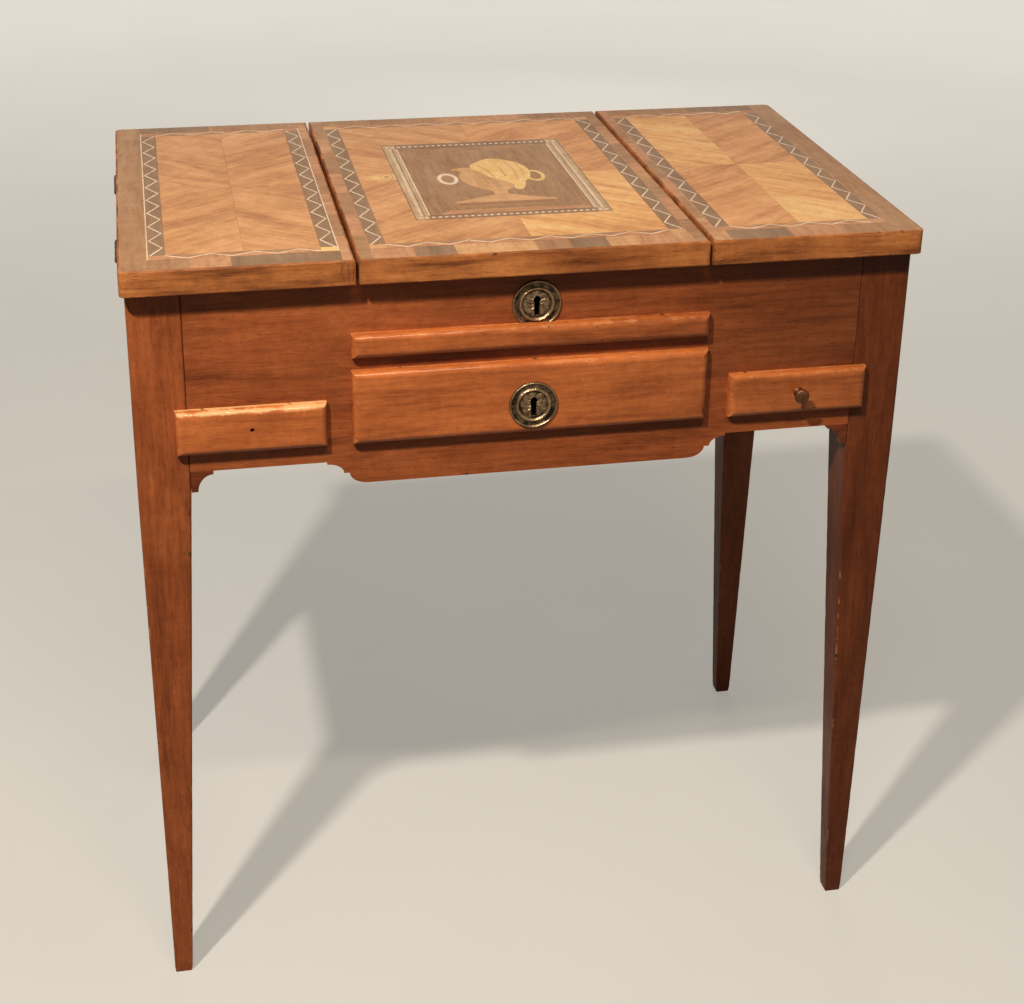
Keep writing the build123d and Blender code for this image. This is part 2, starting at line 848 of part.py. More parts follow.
lid_bolt += block(
    (bolt_x, bolt_x + bolt_tongue_length),
    (lock_line - bolt_tongue_depth / 2, lock_line + bolt_tongue_depth / 2),
    (lid_bolt_height - bolt_tongue_height / 2, lid_bolt_height + bolt_tongue_height / 2),
)
save("lid_lock_bolt", lid_bolt)

# Drawer lock: its bolt rises behind the drawer front into the rail above
front_board_back = case_front + front_board_thickness
drawer_lock_top = centre_top - drawer_lock_top_gap
drawer_bottom_top = drawer_rest + running_gap + drawer_bottom_raise + drawer_bottom_thickness
bolt_top = centre_top - drawer_bolt_drop
bolt_channel_low = bolt_top - drawer_bolt_height
drawer_lock = block(
    (-drawer_lock_width / 2, drawer_lock_width / 2),
    (front_board_back, front_board_back + lock_depth),
    (drawer_bottom_top + drawer_lock_bottom_gap, drawer_lock_top),
)
drawer_lock -= block(
    (-bolt_half_width - bolt_clearance, bolt_half_width + bolt_clearance),
    (bolt_front - bolt_clearance, bolt_front + drawer_bolt_thickness + bolt_clearance),
    (bolt_channel_low - bolt_clearance, drawer_lock_top + overrun),
)
save("drawer_lock_case", drawer_lock)
save(
    "drawer_lock_bolt",
    block(
        (-bolt_half_width, bolt_half_width),
        (bolt_front, bolt_front + drawer_bolt_thickness),
        (bolt_channel_low, bolt_top),
    ),
)
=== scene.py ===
# %% [markdown]
# A small dressing table of old polished fruitwood: a top in three inlaid panels that open, a
# writing slide, three drawers and four tapered legs. The joined and measured model is loaded
# first as a fixed frame, in metres, and every piece made below takes its place from it. This
# keeps the looks and the moving parts together: a piece rides on the body that carries it.

# %% Load the frame
import bpy
import bmesh
import math
import random
from mathutils import Matrix, Vector, noise


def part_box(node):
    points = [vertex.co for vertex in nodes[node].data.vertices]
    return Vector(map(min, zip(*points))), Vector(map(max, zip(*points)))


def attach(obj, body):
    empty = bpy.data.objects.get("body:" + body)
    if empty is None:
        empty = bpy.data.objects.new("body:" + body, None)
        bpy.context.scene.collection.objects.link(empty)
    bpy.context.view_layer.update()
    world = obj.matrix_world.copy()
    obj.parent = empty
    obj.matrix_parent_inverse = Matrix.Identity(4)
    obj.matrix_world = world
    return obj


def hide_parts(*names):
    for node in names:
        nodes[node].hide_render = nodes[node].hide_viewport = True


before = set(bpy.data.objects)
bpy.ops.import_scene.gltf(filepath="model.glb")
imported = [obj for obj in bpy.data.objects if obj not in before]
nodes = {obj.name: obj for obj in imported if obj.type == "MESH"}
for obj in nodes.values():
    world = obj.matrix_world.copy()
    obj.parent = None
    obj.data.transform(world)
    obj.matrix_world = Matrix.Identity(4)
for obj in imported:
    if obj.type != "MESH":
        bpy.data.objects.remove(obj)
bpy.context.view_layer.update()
millimetre = 0.001

# %% [markdown]
# The camera stands where the photographer stood: a little above the top, slightly to the left,
# looking down on it. Its place, turn and lens were fitted to the corners of the table. The
# upright shift of the lens stands in for a photo that was cropped, and it is kept small.

# %% Camera
photo_width, photo_height = 1024, 1004
focal_pixels = 1833.5
centre_across, centre_down = 512, 349
yaw, pitch, roll = -0.2061, -0.394, 0.0165

forward = Vector((-math.sin(yaw) * math.cos(pitch), math.cos(yaw) * math.cos(pitch), math.sin(pitch)))
right = Vector((math.cos(yaw), math.sin(yaw), 0))
up = right.cross(forward)
camera_x = right * math.cos(roll) + up * math.sin(roll)
camera_y = up * math.cos(roll) - right * math.sin(roll)
turn = Matrix((camera_x, camera_y, -forward)).transposed()

camera_data = bpy.data.cameras.new("camera")
camera_data.sensor_width = 36
camera_data.lens = focal_pixels / photo_width * camera_data.sensor_width
camera_data.shift_x = (photo_width / 2 - centre_across) / photo_width
camera_data.shift_y = (centre_down - photo_height / 2) / photo_width
camera = bpy.data.objects.new("camera", camera_data)
camera.matrix_world = Matrix.Translation((-0.328, -1.6843, 1.281)) @ turn.to_4x4()
bpy.context.scene.collection.objects.link(camera)
bpy.context.scene.camera = camera
print("lens", round(camera_data.lens, 1), "mm, shift", round(camera_data.shift_y, 3))

# %% [markdown]
# Materials and shapes are built from nodes, and the same few lines come up each time: add a
# node, write its values, join its sockets. One helper does that, in the tree that is on the
# bench. What comes out of a node is kept as a wire, and a sum or product of wires places the
# maths node for it, so the recipes below read like plain sums. The last helper turns a colour
# that the eye reads, 0 to 255, into the linear numbers that the renderer wants.

# %% Helpers for nodes
class Wire:
    """One output of a node."""

    def __init__(self, socket):
        self.socket = socket

    def __add__(self, other):
        return maths("ADD", self, other)

    def __radd__(self, other):
        return maths("ADD", other, self)

    def __sub__(self, other):
        return maths("SUBTRACT", self, other)

    def __rsub__(self, other):
        return maths("SUBTRACT", other, self)

    def __mul__(self, other):
        return maths("MULTIPLY", self, other)

    def __truediv__(self, other):
        return maths("DIVIDE", self, other)


bench = {}


def node(kind, inputs=None, **settings):
    """Adds a node. A wire among its inputs is joined, and any other value is written."""
    tree = bench["tree"]
    made = tree.nodes.new(kind)
    for name, value in settings.items():
        setattr(made, name, value)
    for key, value in (inputs or {}).items():
        if isinstance(value, Wire):
            tree.links.new(value.socket, made.inputs[key])
        else:
            made.inputs[key].default_value = value
    return made


def wire(kind, inputs=None, output=0, **settings):
    """Adds a node and gives back one of its outputs."""
    return Wire(node(kind, inputs, **settings).outputs[output])


def maths(operation, *values):
    """A maths node, for vectors if one of the values is a vector or a colour."""
    kinds = [value.socket.type if isinstance(value, Wire) else type(value).__name__ for value in values]
    for_vectors = any(kind in ("VECTOR", "RGBA", "tuple") for kind in kinds)
    return wire("ShaderNodeVectorMath" if for_vectors else "ShaderNodeMath", dict(enumerate(values)),
                operation=operation)


def clamped(result):
    """The result of a maths node, kept from 0 to 1."""
    result.socket.node.use_clamp = True
    return result


def length_of(vector):
    return wire("ShaderNodeVectorMath", {0: vector}, "Value", operation="LENGTH")


def parts_of(vector):
    return [Wire(socket) for socket in node("ShaderNodeSeparateXYZ", {0: vector}).outputs]


def vector_of(x, y, z):
    return wire("ShaderNodeCombineXYZ", {0: x, 1: y, 2: z})


def stretch(value, from_low, from_high, to_low=0.0, to_high=1.0, smooth=False):
    """Turns one span of numbers into another, clamped at both ends."""
    return wire("ShaderNodeMapRange", {0: value, 1: from_low, 2: from_high, 3: to_low, 4: to_high},
                interpolation_type="SMOOTHSTEP" if smooth else "LINEAR")


def blend(share, first, second, how="MIX"):
    return wire("ShaderNodeMix", {0: share, 6: first, 7: second}, 2, data_type="RGBA", blend_type=how)


def clouds(place, scale, detail, roughness=0.5, distortion=0.0, output="Fac"):
    """Soft noise. Scale is the number of marks to a metre."""
    return wire("ShaderNodeTexNoise", {"Vector": place, "Scale": scale, "Detail": detail, "Roughness": roughness,
                                       "Distortion": distortion}, output)


def colour(red, green, blue):
    def linear(part):
        share = part / 255
        return share / 12.92 if share <= 0.04045 else ((share + 0.055) / 1.055) ** 2.4
    return (linear(red), linear(green), linear(blue), 1.0)


print("helpers ready")

# %% [markdown]
# The table stands on a plain pale floor, and the same paleness is behind it, so nothing fights
# with the red wood. A white floor would throw so much light back up that the shadows under the
# top would vanish. So floor and world are pale only to the camera and in reflections, which the
# Light Path node tells apart, and to all other rays they are a dark floor and a weak even light.
# Part of the floor's paleness is its own, so that it doesn't fade away from the lamps, and the
# rest is lit, so that the table's shadow stays on it.

# %% Floor and background
def new_material(name):
    """A new material without nodes, whose tree goes on the bench."""
    material = bpy.data.materials.new(name)
    material.use_nodes = True
    material.node_tree.nodes.clear()
    bench["tree"] = material.node_tree
    return material


def object_place():
    return wire("ShaderNodeTexCoord", output="Object")


def plain_object(name, mesh):
    made = bpy.data.objects.new(name, mesh)
    bpy.context.scene.collection.objects.link(made)
    return made


def piece_of(name, bm, materials):
    """Turns what was modelled into one object with its materials."""
    mesh = bpy.data.meshes.new(name)
    bm.to_mesh(mesh)
    bm.free()
    for material in materials:
        mesh.materials.append(material)
    return plain_object(name, mesh)


def seen_or_mirrored(mirrored_share):
    """1 for rays from the camera, a share for reflections, 0 for the light that surfaces pass on."""
    rays = {socket.name: Wire(socket) for socket in node("ShaderNodeLightPath").outputs}
    mirrored = rays["Is Glossy Ray"] * mirrored_share
    return clamped(rays["Is Camera Ray"] + mirrored + rays["Is Transmission Ray"])


pale_floor = new_material("pale_floor")
place = object_place()
pale = blend(clouds(place, 3.0, 5.0), colour(222, 216, 205), colour(228, 222, 212))
seen = seen_or_mirrored(0.45)
lit = wire("ShaderNodeBsdfPrincipled", {"Base Color": blend(seen, colour(104, 100, 96), pale), "Roughness": 0.8})
own = wire("ShaderNodeEmission", {"Color": pale, "Strength": 1.0})
own_share = stretch(length_of(place), 0.9, 4.5, 0.42, 1.0, smooth=True) * seen
node("ShaderNodeOutputMaterial", {0: wire("ShaderNodeMixShader", {0: own_share, 1: lit, 2: own})})

floor_size = 9.0
floor_bm = bmesh.new()
bmesh.ops.create_grid(floor_bm, x_segments=1, y_segments=1, size=floor_size)
floor = piece_of("floor", floor_bm, [pale_floor])

world = bpy.data.worlds.new("studio")
bpy.context.scene.world = world
world.use_nodes = True
world.node_tree.nodes.clear()
bench["tree"] = world.node_tree
ambient = wire("ShaderNodeBackground", {0: (1.0, 0.98, 0.95, 1.0), 1: 0.064})
backdrop = wire("ShaderNodeBackground", {0: colour(225, 219, 208), 1: 1.0})
node("ShaderNodeOutputWorld", {0: wire("ShaderNodeMixShader", {0: seen_or_mirrored(0.55), 1: ambient, 2: backdrop})})
bpy.context.scene.view_settings.view_transform = "Standard"
print("floor", 2 * floor_size, "m wide")

# %% [markdown]
# Four lamps light the table. The main one is small and hangs high on the left and in front, so
# the top throws a deep crisp shadow on the boards below it, and the lips of the drawers throw
# narrow ones down and to the right. A long weak one beside it shows as a bright line along every
# rounded edge. Two large weak ones open the shadows from the right and from behind. The rear
# one is hidden from reflections, so that it puts no glare on the polished top.

# %% Lamps
for name, place, aim, width, length, watts, tint in (
        ("main_lamp", (-1.1, -1.42, 2.69), (0, -0.05, 0.6), 0.13, None, 69, (1.0, 0.955, 0.88)),
        ("strip_lamp", (-0.1, -1.5, 2.6), (-0.05, -0.15, 0.65), 0.1, 0.9, 20, (1.0, 0.9, 0.7)),
        ("side_lamp", (2.6, -1.2, 1.5), (0, 0, 0.5), 1.6, None, 3, (1.0, 0.97, 0.93)),
        ("rear_lamp", (0.9, 3.2, 1.1), (0, 0, 0.5), 1.6, None, 20, (1.0, 0.97, 0.93))):
    lamp_data = bpy.data.lights.new(name, "AREA")
    lamp_data.shape = "RECTANGLE" if length else "DISK"
    lamp_data.size = length or width
    lamp_data.size_y = width
    lamp_data.energy = watts
    lamp_data.color = tint
    lamp = plain_object(name, lamp_data)
    lamp.location = place
    lamp.rotation_euler = (Vector(aim) - Vector(place)).to_track_quat("-Z", "Y").to_euler()
    lamp.visible_camera = False
    lamp.visible_glossy = name != "rear_lamp"
    print(name, watts, "watts")

# %% [markdown]
# Old polished wood is the finish of nearly the whole table, so its look is built once as a
# group. Real wood shows several sizes of mark at once: broad soft bands of figure, fine growth
# lines, short dark flecks, tiny pores, and a faint ripple across the grain. Each is noise drawn out
# along X, so whoever places the group first turns the grain to lie along X. The colours and
# amounts are inputs, so each board and each veneer can be its own piece of wood.

# %% Group: wood grain
socket_kinds = {"vector": "NodeSocketVector", "colour": "NodeSocketColor", "number": "NodeSocketFloat",
                "count": "NodeSocketInt", "material": "NodeSocketMaterial", "geometry": "NodeSocketGeometry"}


def start_tree(kind, name, inputs):
    """Puts a new tree on the bench and gives back what comes in by its named inputs."""
    tree = bench["tree"] = bpy.data.node_groups.new(name, kind)
    for input_kind, labels in inputs.items():
        for label in labels:
            tree.interface.new_socket(label, in_out="INPUT", socket_type=socket_kinds[input_kind])
    return tree, {socket.name: Wire(socket) for socket in tree.nodes.new("NodeGroupInput").outputs}


def end_tree(**results):
    """Names what the tree on the bench gives back, and joins it."""
    tree = bench["tree"]
    kinds = {"RGBA": "colour", "VALUE": "number", "GEOMETRY": "geometry"}
    for label, result in results.items():
        tree.interface.new_socket(label, in_out="OUTPUT", socket_type=socket_kinds[kinds[result.socket.type]])
    node("NodeGroupOutput", results)
    print(tree.name, "has", len(tree.nodes), "nodes")


def drawn_out(place, along, across, detail, distortion=0.0):
    """Noise drawn out along X: along and across are the number of marks to a metre."""
    return clouds(place * (along, across, across), 1.0, detail, distortion=distortion)


wood_grain, given = start_tree("ShaderNodeTree", "wood_grain", {
    "vector": ["Vector"], "colour": ["Light", "Middle", "Dark"],
    "number": ["Piece", "Figure", "Lines", "Pores", "Ripple", "Wander"]})
grain_place = given["Vector"] + maths("MULTIPLY", (0.37, 0.61, 0.83), given["Piece"])
bend = (drawn_out(grain_place, 9.0, 14.0, 2.0) - 0.5) * given["Wander"]
grain_place = grain_place + vector_of(0.0, bend, bend)
broad = drawn_out(grain_place, 7.0, 40.0, 4.0, 0.5)
lines = drawn_out(grain_place, 20.0, 270.0, 5.0, 0.3)
flecks = drawn_out(grain_place, 46.0, 620.0, 2.0)
fibre = drawn_out(grain_place, 70.0, 1500.0, 2.0)
pores = drawn_out(grain_place, 120.0, 1200.0, 1.0)
ripple = drawn_out(grain_place, 70.0, 12.0, 2.0, 0.8)
tone = 0.5
for mark, amount in ((broad, given["Figure"]), (lines, given["Lines"]), (ripple, given["Ripple"]), (fibre, 0.35)):
    tone = tone + (mark - 0.5) * amount
dark_half = blend(stretch(tone, 0.12, 0.5), given["Dark"], given["Middle"])
all_tones = blend(stretch(tone, 0.5, 0.88), dark_half, given["Light"])
pore_mask = maths("MAXIMUM", stretch(pores, 0.66, 0.76), stretch(flecks, 0.6, 0.74) * 0.55)
pore_mask = clamped(pore_mask * given["Pores"])
deep = blend(1.0, given["Dark"], (0.45, 0.4, 0.38, 1.0), "MULTIPLY")
end_tree(Color=blend(pore_mask * 0.65, all_tones, deep), Height=fibre * 0.4 - pore_mask,
         Shine=stretch(broad + lines, 0.7, 1.3, 0.07, -0.07))

# %% [markdown]
# Long use leaves marks that don't follow the grain: small dents, worm holes the size of a
# pinhead, scratches, and cloudy patches where polish has gone dull or dirt has built up. They
# sit on top of any wood, so they are a second group that takes a colour and gives back the
# marked colour, with a height for the dents and a value that dulls the polish.

# %% Group: marks of age
age_marks, given = start_tree("ShaderNodeTree", "age_marks", {
    "vector": ["Vector"], "colour": ["Color"], "number": ["Dirt", "Holes"]})
place = given["Vector"]
patch = stretch(clouds(place, 9.0, 6.0, 0.62), 0.42, 0.72, smooth=True)
darker = blend(1.0, given["Color"], (0.5, 0.42, 0.38, 1.0), "MULTIPLY")
dirty = blend(clamped(patch * given["Dirt"]), given["Color"], darker)
dirty = blend(stretch(clouds(place, 130.0, 5.0, 0.75), 0.3, 0.62, 0.42, 0.0), dirty, darker)
hole_cells = node("ShaderNodeTexVoronoi", {"Vector": place, "Scale": 34.0}).outputs
hole_chance = wire("ShaderNodeSeparateColor", {0: Wire(hole_cells["Color"])})
hole_mask = maths("LESS_THAN", Wire(hole_cells["Distance"]), stretch(hole_chance, 0.86, 1.0, 0.0, 0.034))
hole_mask = clamped(hole_mask * given["Holes"])
hole_colour = colour(38, 20, 12)
holed = blend(hole_mask, dirty, hole_colour)
bruise_cells = wire("ShaderNodeTexVoronoi", {"Vector": place, "Scale": 16.0}, "Distance")
bruise = stretch(bruise_cells, 0.0, 0.14, 1.0, 0.0, smooth=True)
scratch = stretch(clouds(place * (420.0, 36.0, 230.0), 1.0, 2.0, distortion=1.2), 0.72, 0.8) * 0.5
end_tree(Color=blend(scratch * 0.35, holed, blend(0.4, holed, colour(226, 178, 138))),
         Height=(hole_mask + bruise * 0.35) * -1.0 - scratch * 0.3, Dullness=patch * 0.12 + scratch * 0.15)

# %% [markdown]
# Corners that hands, knees and brooms meet lose their colour first. The wood shows paler there,
# with a few dark knocks. What the effect needs is how far a point is from the nearest edge. For
# a board with square sides that can be worked out from its two opposite corners: a point on a
# face lies on one pair of sides, so the middle one of its three distances is the distance to
# the edge. A ragged noise is added to it, so that the wear has no ruled outline.

# %% Group: worn edges
worn_edges, given = start_tree("ShaderNodeTree", "worn_edges", {
    "vector": ["Vector"], "colour": ["Color", "Bare"], "number": ["Distance", "Reach", "Amount", "Rarity"]})
place = given["Vector"]
nearness = given["Distance"] / given["Reach"]
held = nearness + (clouds(place, 46.0, 6.0, 0.7) - 0.5) * 3.4 + given["Rarity"]
worn = clamped(stretch(held, 0.75, 0.2) * given["Amount"])
knock = clamped(stretch(clouds(place, 90.0, 3.0), 0.66, 0.72) * stretch(nearness, 1.6, 0.4))
end_tree(Color=blend(knock, blend(worn, given["Color"], given["Bare"]), colour(52, 28, 16)),
         Height=(worn + knock) * -1.0, Dullness=worn * 0.18)

edge_distance, given = start_tree("ShaderNodeTree", "edge_distance", {"vector": ["Vector", "Low", "High"]})
nearest = maths("MINIMUM", given["Vector"] - given["Low"], given["High"] - given["Vector"])
near_x, near_y, near_z = parts_of(maths("ABSOLUTE", nearest))
smaller, larger = maths("MINIMUM", near_x, near_y), maths("MAXIMUM", near_x, near_y)
end_tree(Distance=maths("MAXIMUM", smaller, maths("MINIMUM", larger, near_z)))

# %% [markdown]
# Each board is now given its own wood. The grain of a rail runs along the rail and the grain of
# a leg runs up the leg, because a joiner saws every part so that the long fibres carry the
# load. A Mapping node turns the grain that way. The front boards and rails of the case share
# one piece of figure, as they do on the table, where one sheet runs from leg to leg. Three local
# marks can be added: a darkening towards one side, which is a real stain on the case boards and
# painted shade on the drawer fronts; a black disc of painted shade behind a keyhole plate, which
# shows through the keyhole as the unlit inside of the hole; and hairline cracks, drawn as the
# edges of long narrow cells near a few chosen spots.

# %% Solid and polished wood
quarter = math.pi / 2
turns = {"x": (0.0, 0.0, 0.0), "y": (0.0, 0.0, -quarter), "z": (0.0, quarter, 0.0)}


def put_group(group, inputs):
    placed = node("ShaderNodeGroup", inputs, node_tree=group)
    return {socket.name: Wire(socket) for socket in placed.outputs}


def put_grain(place, tones, amounts):
    return put_group(wood_grain, {"Vector": place, **dict(zip(("Light", "Middle", "Dark"), tones)), **amounts})


def crack_lines(place, run, spots):
    """Nearly 1 in hairline cracks near some spots, which run up or along the wood. A spot is its
    middle and half its size."""
    shake = (clouds(place, 260.0, 3.0, output="Color") - (0.5, 0.5, 0.5)) * (0.003, 0.003, 0.003)
    cells = (place + shake) * ((1.0, 0.1, 0.1) if run == "up" else (0.12, 0.1, 1.0))
    to_edge = wire("ShaderNodeTexVoronoi", {"Vector": cells, "Scale": 260.0}, "Distance", feature="DISTANCE_TO_EDGE")
    near = 0.0
    for middle, half_size in spots:
        near = maths("MAXIMUM", near, stretch(length_of((place - middle) / half_size), 0.3, 1.0, 1.0, 0.0))
    return stretch(to_edge, 0.0, 0.07, 0.8, 0.0) * near


def end_material(relief, bump_depth, bump_strength, finish):
    """Ends the material on the bench with a polished surface over its relief."""
    bump = wire("ShaderNodeBump", {"Height": relief, "Distance": bump_depth, "Strength": bump_strength})
    surface = wire("ShaderNodeBsdfPrincipled", {"Normal": bump, **finish})
    node("ShaderNodeOutputMaterial", {0: surface})


def wood_material(name, grain, piece, tones, figure=1.05, lines=0.8, pores=1.0, ripple=0.15, corners=None,
                  distance_from=None, bare=colour(226, 150, 92), reach=0.003, wear=0.7, rarity=0.0, dirt=0.4,
                  holes=1.0, stain_and_shade=None, keyhole=None, cracks=(), roughness=0.36, coat=0.1, coat_roughness=0.16):
    """One piece of old wood. corners are a board's two opposite corners, for the wear of its edges.
    The darkening along X, a real stain on the case boards and painted shade on the drawer fronts, gives where it
    starts, where it ends and what share is left.
    keyhole is the x, z and radius of a round place painted black as shade, which shows through the keyhole as the unlit
    inside of the hole.
    cracks are the way that they run, and their spots."""
    material = new_material(name)
    place = object_place()
    turned = wire("ShaderNodeMapping", {"Vector": place, "Rotation": turns[grain]})
    wood = put_grain(turned, tones, {"Piece": piece, "Figure": figure, "Lines": lines, "Pores": pores,
                                     "Ripple": ripple, "Wander": 0.006})
    shown = wood["Color"]
    # Darker towards one side along X: a real stain on the case boards, painted shade on the drawer fronts and slide.
    if stain_and_shade:
        start_x, end_x, left_over = stain_and_shade
        share = stretch(parts_of(place)[0], start_x, end_x, smooth=True)
        shown = blend(share, shown, blend(1.0, shown, (left_over,) * 3 + (1.0,), "MULTIPLY"))
    aged = put_group(age_marks, {"Vector": place, "Color": shown, "Dirt": dirt, "Holes": holes})
    shown, sunk, dull = aged["Color"], aged["Height"], aged["Dullness"]
    if corners or distance_from:
        if corners:
            edge = put_group(edge_distance, {"Vector": place, "Low": corners[0], "High": corners[1]})["Distance"]
        else:
            edge = wire("ShaderNodeAttribute", output="Fac", attribute_name=distance_from)
        rubbed = put_group(worn_edges, {"Vector": place, "Distance": edge, "Color": shown, "Bare": bare,
                                        "Reach": reach, "Amount": wear, "Rarity": rarity})
        shown, sunk, dull = rubbed["Color"], sunk + rubbed["Height"] * 0.6, dull + rubbed["Dullness"]
    if cracks:
        split = crack_lines(place, *cracks)
        shown, sunk = blend(split, shown, hole_colour), sunk - split * 0.5
    # Painted shade: a black disc behind the keyhole plate, seen through the keyhole as the unlit inside of the hole.
    if keyhole:
        hole_x, hole_z, hole_radius = keyhole
        from_hole = length_of((place - (hole_x, 0.0, hole_z)) * (1.0, 0.0, 1.0))
        shown = blend(stretch(from_hole, hole_radius, hole_radius * 1.2, 1.0, 0.0), shown, colour(20, 12, 8))
    end_material(wood["Height"] * 0.16 + sunk, 0.0006, 0.55, {
        "Base Color": shown, "Roughness": clamped(wood["Shine"] + dull + roughness), "Coat Weight": coat,
        "Coat Roughness": coat_roughness, "IOR": 1.45, "Specular IOR Level": 0.18})
    return material


def dress(names, material):
    """Puts one material on CAD pieces that keep their own shape."""
    for name in names:
        slots = nodes[name].data.materials
        if len(slots):
            slots[0] = material
        else:
            slots.append(material)


def keyhole_of(plate):
    """The place and reach of the keyhole under a round plate."""
    low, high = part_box(plate)
    radius = (high.x - low.x) / 2
    return ((low.x + high.x) / 2, high.z - radius, radius / 2)


print("turns of the grain", list(turns))

# %% Case
fruitwood = (colour(194, 106, 57), colour(166, 87, 45), colour(119, 58, 28))
# The brackets sit back under the case in its shade, so their wood is made darker: painted shade.
painted_shade_fruitwood = (colour(146, 74, 36), colour(124, 60, 28), colour(90, 40, 18))
lip_low, lip_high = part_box("left_drawer_front")
board_chips = [((lip_low.x + share * (lip_high.x - lip_low.x), lip_low.y, lip_high.z + 2.5 * millimetre),
                (0.01, 0.05, 0.003)) for share in (0.52, 0.88)]
front_wood = wood_material("front_fruitwood", "x", 1.0, fruitwood, stain_and_shade=(0.0, 0.33, 0.5),
                           keyhole=keyhole_of("upper_escutcheon"), cracks=("along", board_chips))
dress(["front_board_left", "front_board_right", "upper_front_rail", "middle_front_rail"], front_wood)
for name, label, grain, piece, tones, finish in (
        ("lower_front_rail", "lower_rail", "x", 5.0, fruitwood,
         {"dirt": 0.5, "corners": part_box("lower_front_rail"), "wear": 0.2, "rarity": 0.5}),
        ("divider_posts", "post", "x", 9.0, fruitwood, {}),
        ("front_brackets", "bracket", "x", 12.0, painted_shade_fruitwood, {"dirt": 0.9}),
        ("side_panel_left", "side_panel_left", "y", 15.0, fruitwood, {}),
        ("side_panel_right", "side_panel_right", "y", 18.0, fruitwood, {}),
        ("back_panel", "back", "x", 21.0, fruitwood, {"dirt": 0.8, "roughness": 0.5, "coat": 0.0})):
    dress([name], wood_material(label + "_fruitwood", grain, piece, tones, **finish))
print("dressed the case in", len([m for m in bpy.data.materials if "fruitwood" in m.name]), "pieces of fruitwood")

# %% [markdown]
# The leg is a square post that shrinks to a small square foot, and both outer faces lean in
# less than the inner ones, because the axis of the foot stands nearer to the outer corner. A
# shape with such a simple rule is made with Geometry Nodes: a square outline is swept up a
# line, its size follows the height, and then each ring is moved over to where the axis is at
# its height. The tree also writes on every point how far it is from the nearest corner of the
# square, which the worn finish reads later. Beside the boards, where no knee or broom gets at
# the corners, it writes a larger number, and the finish stays whole there.

# %% Helpers for Geometry Nodes
def start_shape(name, inputs):
    """A geometry tree. A geometry comes in first and the material last."""
    return start_tree("GeometryNodeTree", name, {"geometry": ["Geometry"], **inputs, "material": ["Material"]})


def end_shape(geometry, material):
    """Every tree ends with real meshes that carry their material."""
    real = wire("GeometryNodeRealizeInstances", {0: geometry})
    end_tree(Geometry=wire("GeometryNodeSetMaterial", {"Geometry": real, "Material": material}))


def grow(name, tree, values, start=None):
    """Runs a tree on an object and keeps the result as one plain mesh."""
    carrier = plain_object(name, start or bpy.data.meshes.new(name))
    modifier = carrier.modifiers.new("grow", "NODES")
    modifier.node_group = tree
    sockets = {s.name: s.identifier for s in tree.interface.items_tree if s.in_out == "INPUT"}
    for label, value in values.items():
        modifier[sockets[label]] = value
    evaluated = carrier.evaluated_get(bpy.context.evaluated_depsgraph_get())
    mesh = bpy.data.meshes.new_from_object(evaluated)
    carrier.modifiers.remove(modifier)
    carrier.data = mesh
    return carrier


def finish_faces(mesh, degrees):
    """Turns the faces outwards and smooths them, with every edge sharper than the angle kept crisp."""
    bm = bmesh.new()
    bm.from_mesh(mesh)
    bmesh.ops.recalc_face_normals(bm, faces=bm.faces)
    for face in bm.faces:
        face.smooth = True
    for edge in bm.edges:
        edge.smooth = edge.is_boundary or edge.calc_face_angle(math.pi) < math.radians(degrees)
    bm.to_mesh(mesh)
    bm.free()


print("geometry helpers ready")

# %% The tree of a tapered leg
leg_tree, given = start_shape("tapered_leg", {
    "number": ["Height", "Taper Start", "Stile Side", "Foot Side", "Arris Radius", "Wear", "Seed"],
    "vector": ["Stile Centre", "Foot Centre"]})
position = wire("GeometryNodeInputPosition")
local_x, local_y, height_here = parts_of(position)
axis_line = wire("GeometryNodeCurvePrimitiveLine", {"Start": (0, 0, 0), "End": vector_of(0.0, 0.0, given["Height"])})
axis_line = wire("GeometryNodeResampleCurve", {"Curve": axis_line, "Count": 120})
square = wire("GeometryNodeCurvePrimitiveQuadrilateral",
              {"Width": given["Stile Side"], "Height": given["Stile Side"]})
square = wire("GeometryNodeSubdivideCurve", {"Curve": square, "Cuts": 7})
square = wire("GeometryNodeFilletCurve", {"Curve": square, "Count": 3, "Radius": given["Arris Radius"],
                                          "Limit Radius": True}, mode="POLY")
share_up = stretch(height_here, 0.0, given["Taper Start"])
size_share = stretch(share_up, 0.0, 1.0, given["Foot Side"] / given["Stile Side"], 1.0)
ring_size = size_share * stretch(height_here, 0.0, 0.004, 0.93, 1.0)
sized_line = wire("GeometryNodeSetCurveRadius", {"Curve": axis_line, "Radius": ring_size})
marked_line = node("GeometryNodeCaptureAttribute", {"Geometry": sized_line})
for label, value in (("Share Up", share_up), ("Size Share", size_share)):
    marked_line.capture_items.new("FLOAT", label)
    leg_tree.links.new(value.socket, marked_line.inputs[label])
share_here, size_here = Wire(marked_line.outputs["Share Up"]), Wire(marked_line.outputs["Size Share"])
swept = node("GeometryNodeCurveToMesh", {"Curve": Wire(marked_line.outputs["Geometry"]), "Profile Curve": square,
                                         "Fill Caps": True})
if "Scale" in swept.inputs:
    leg_tree.links.new(ring_size.socket, swept.inputs["Scale"])
from_axis = maths("MINIMUM", maths("ABSOLUTE", local_x), maths("ABSOLUTE", local_y))
to_arris = maths("MAXIMUM", given["Stile Side"] * 0.5 * size_here - from_axis, 0.0)
to_arris = to_arris + stretch(share_here, 0.97, 1.0, 0.0, 0.01)
marked = wire("GeometryNodeStoreNamedAttribute",
              {"Geometry": Wire(swept.outputs[0]), "Name": "arris_distance", "Value": to_arris},
              data_type="FLOAT", domain="POINT")
axis_here = wire("ShaderNodeMix", {0: share_here, 4: given["Foot Centre"], 5: given["Stile Centre"]}, 1,
                 data_type="VECTOR")
seeded = position + axis_here + vector_of(given["Seed"], given["Seed"], 0.0)
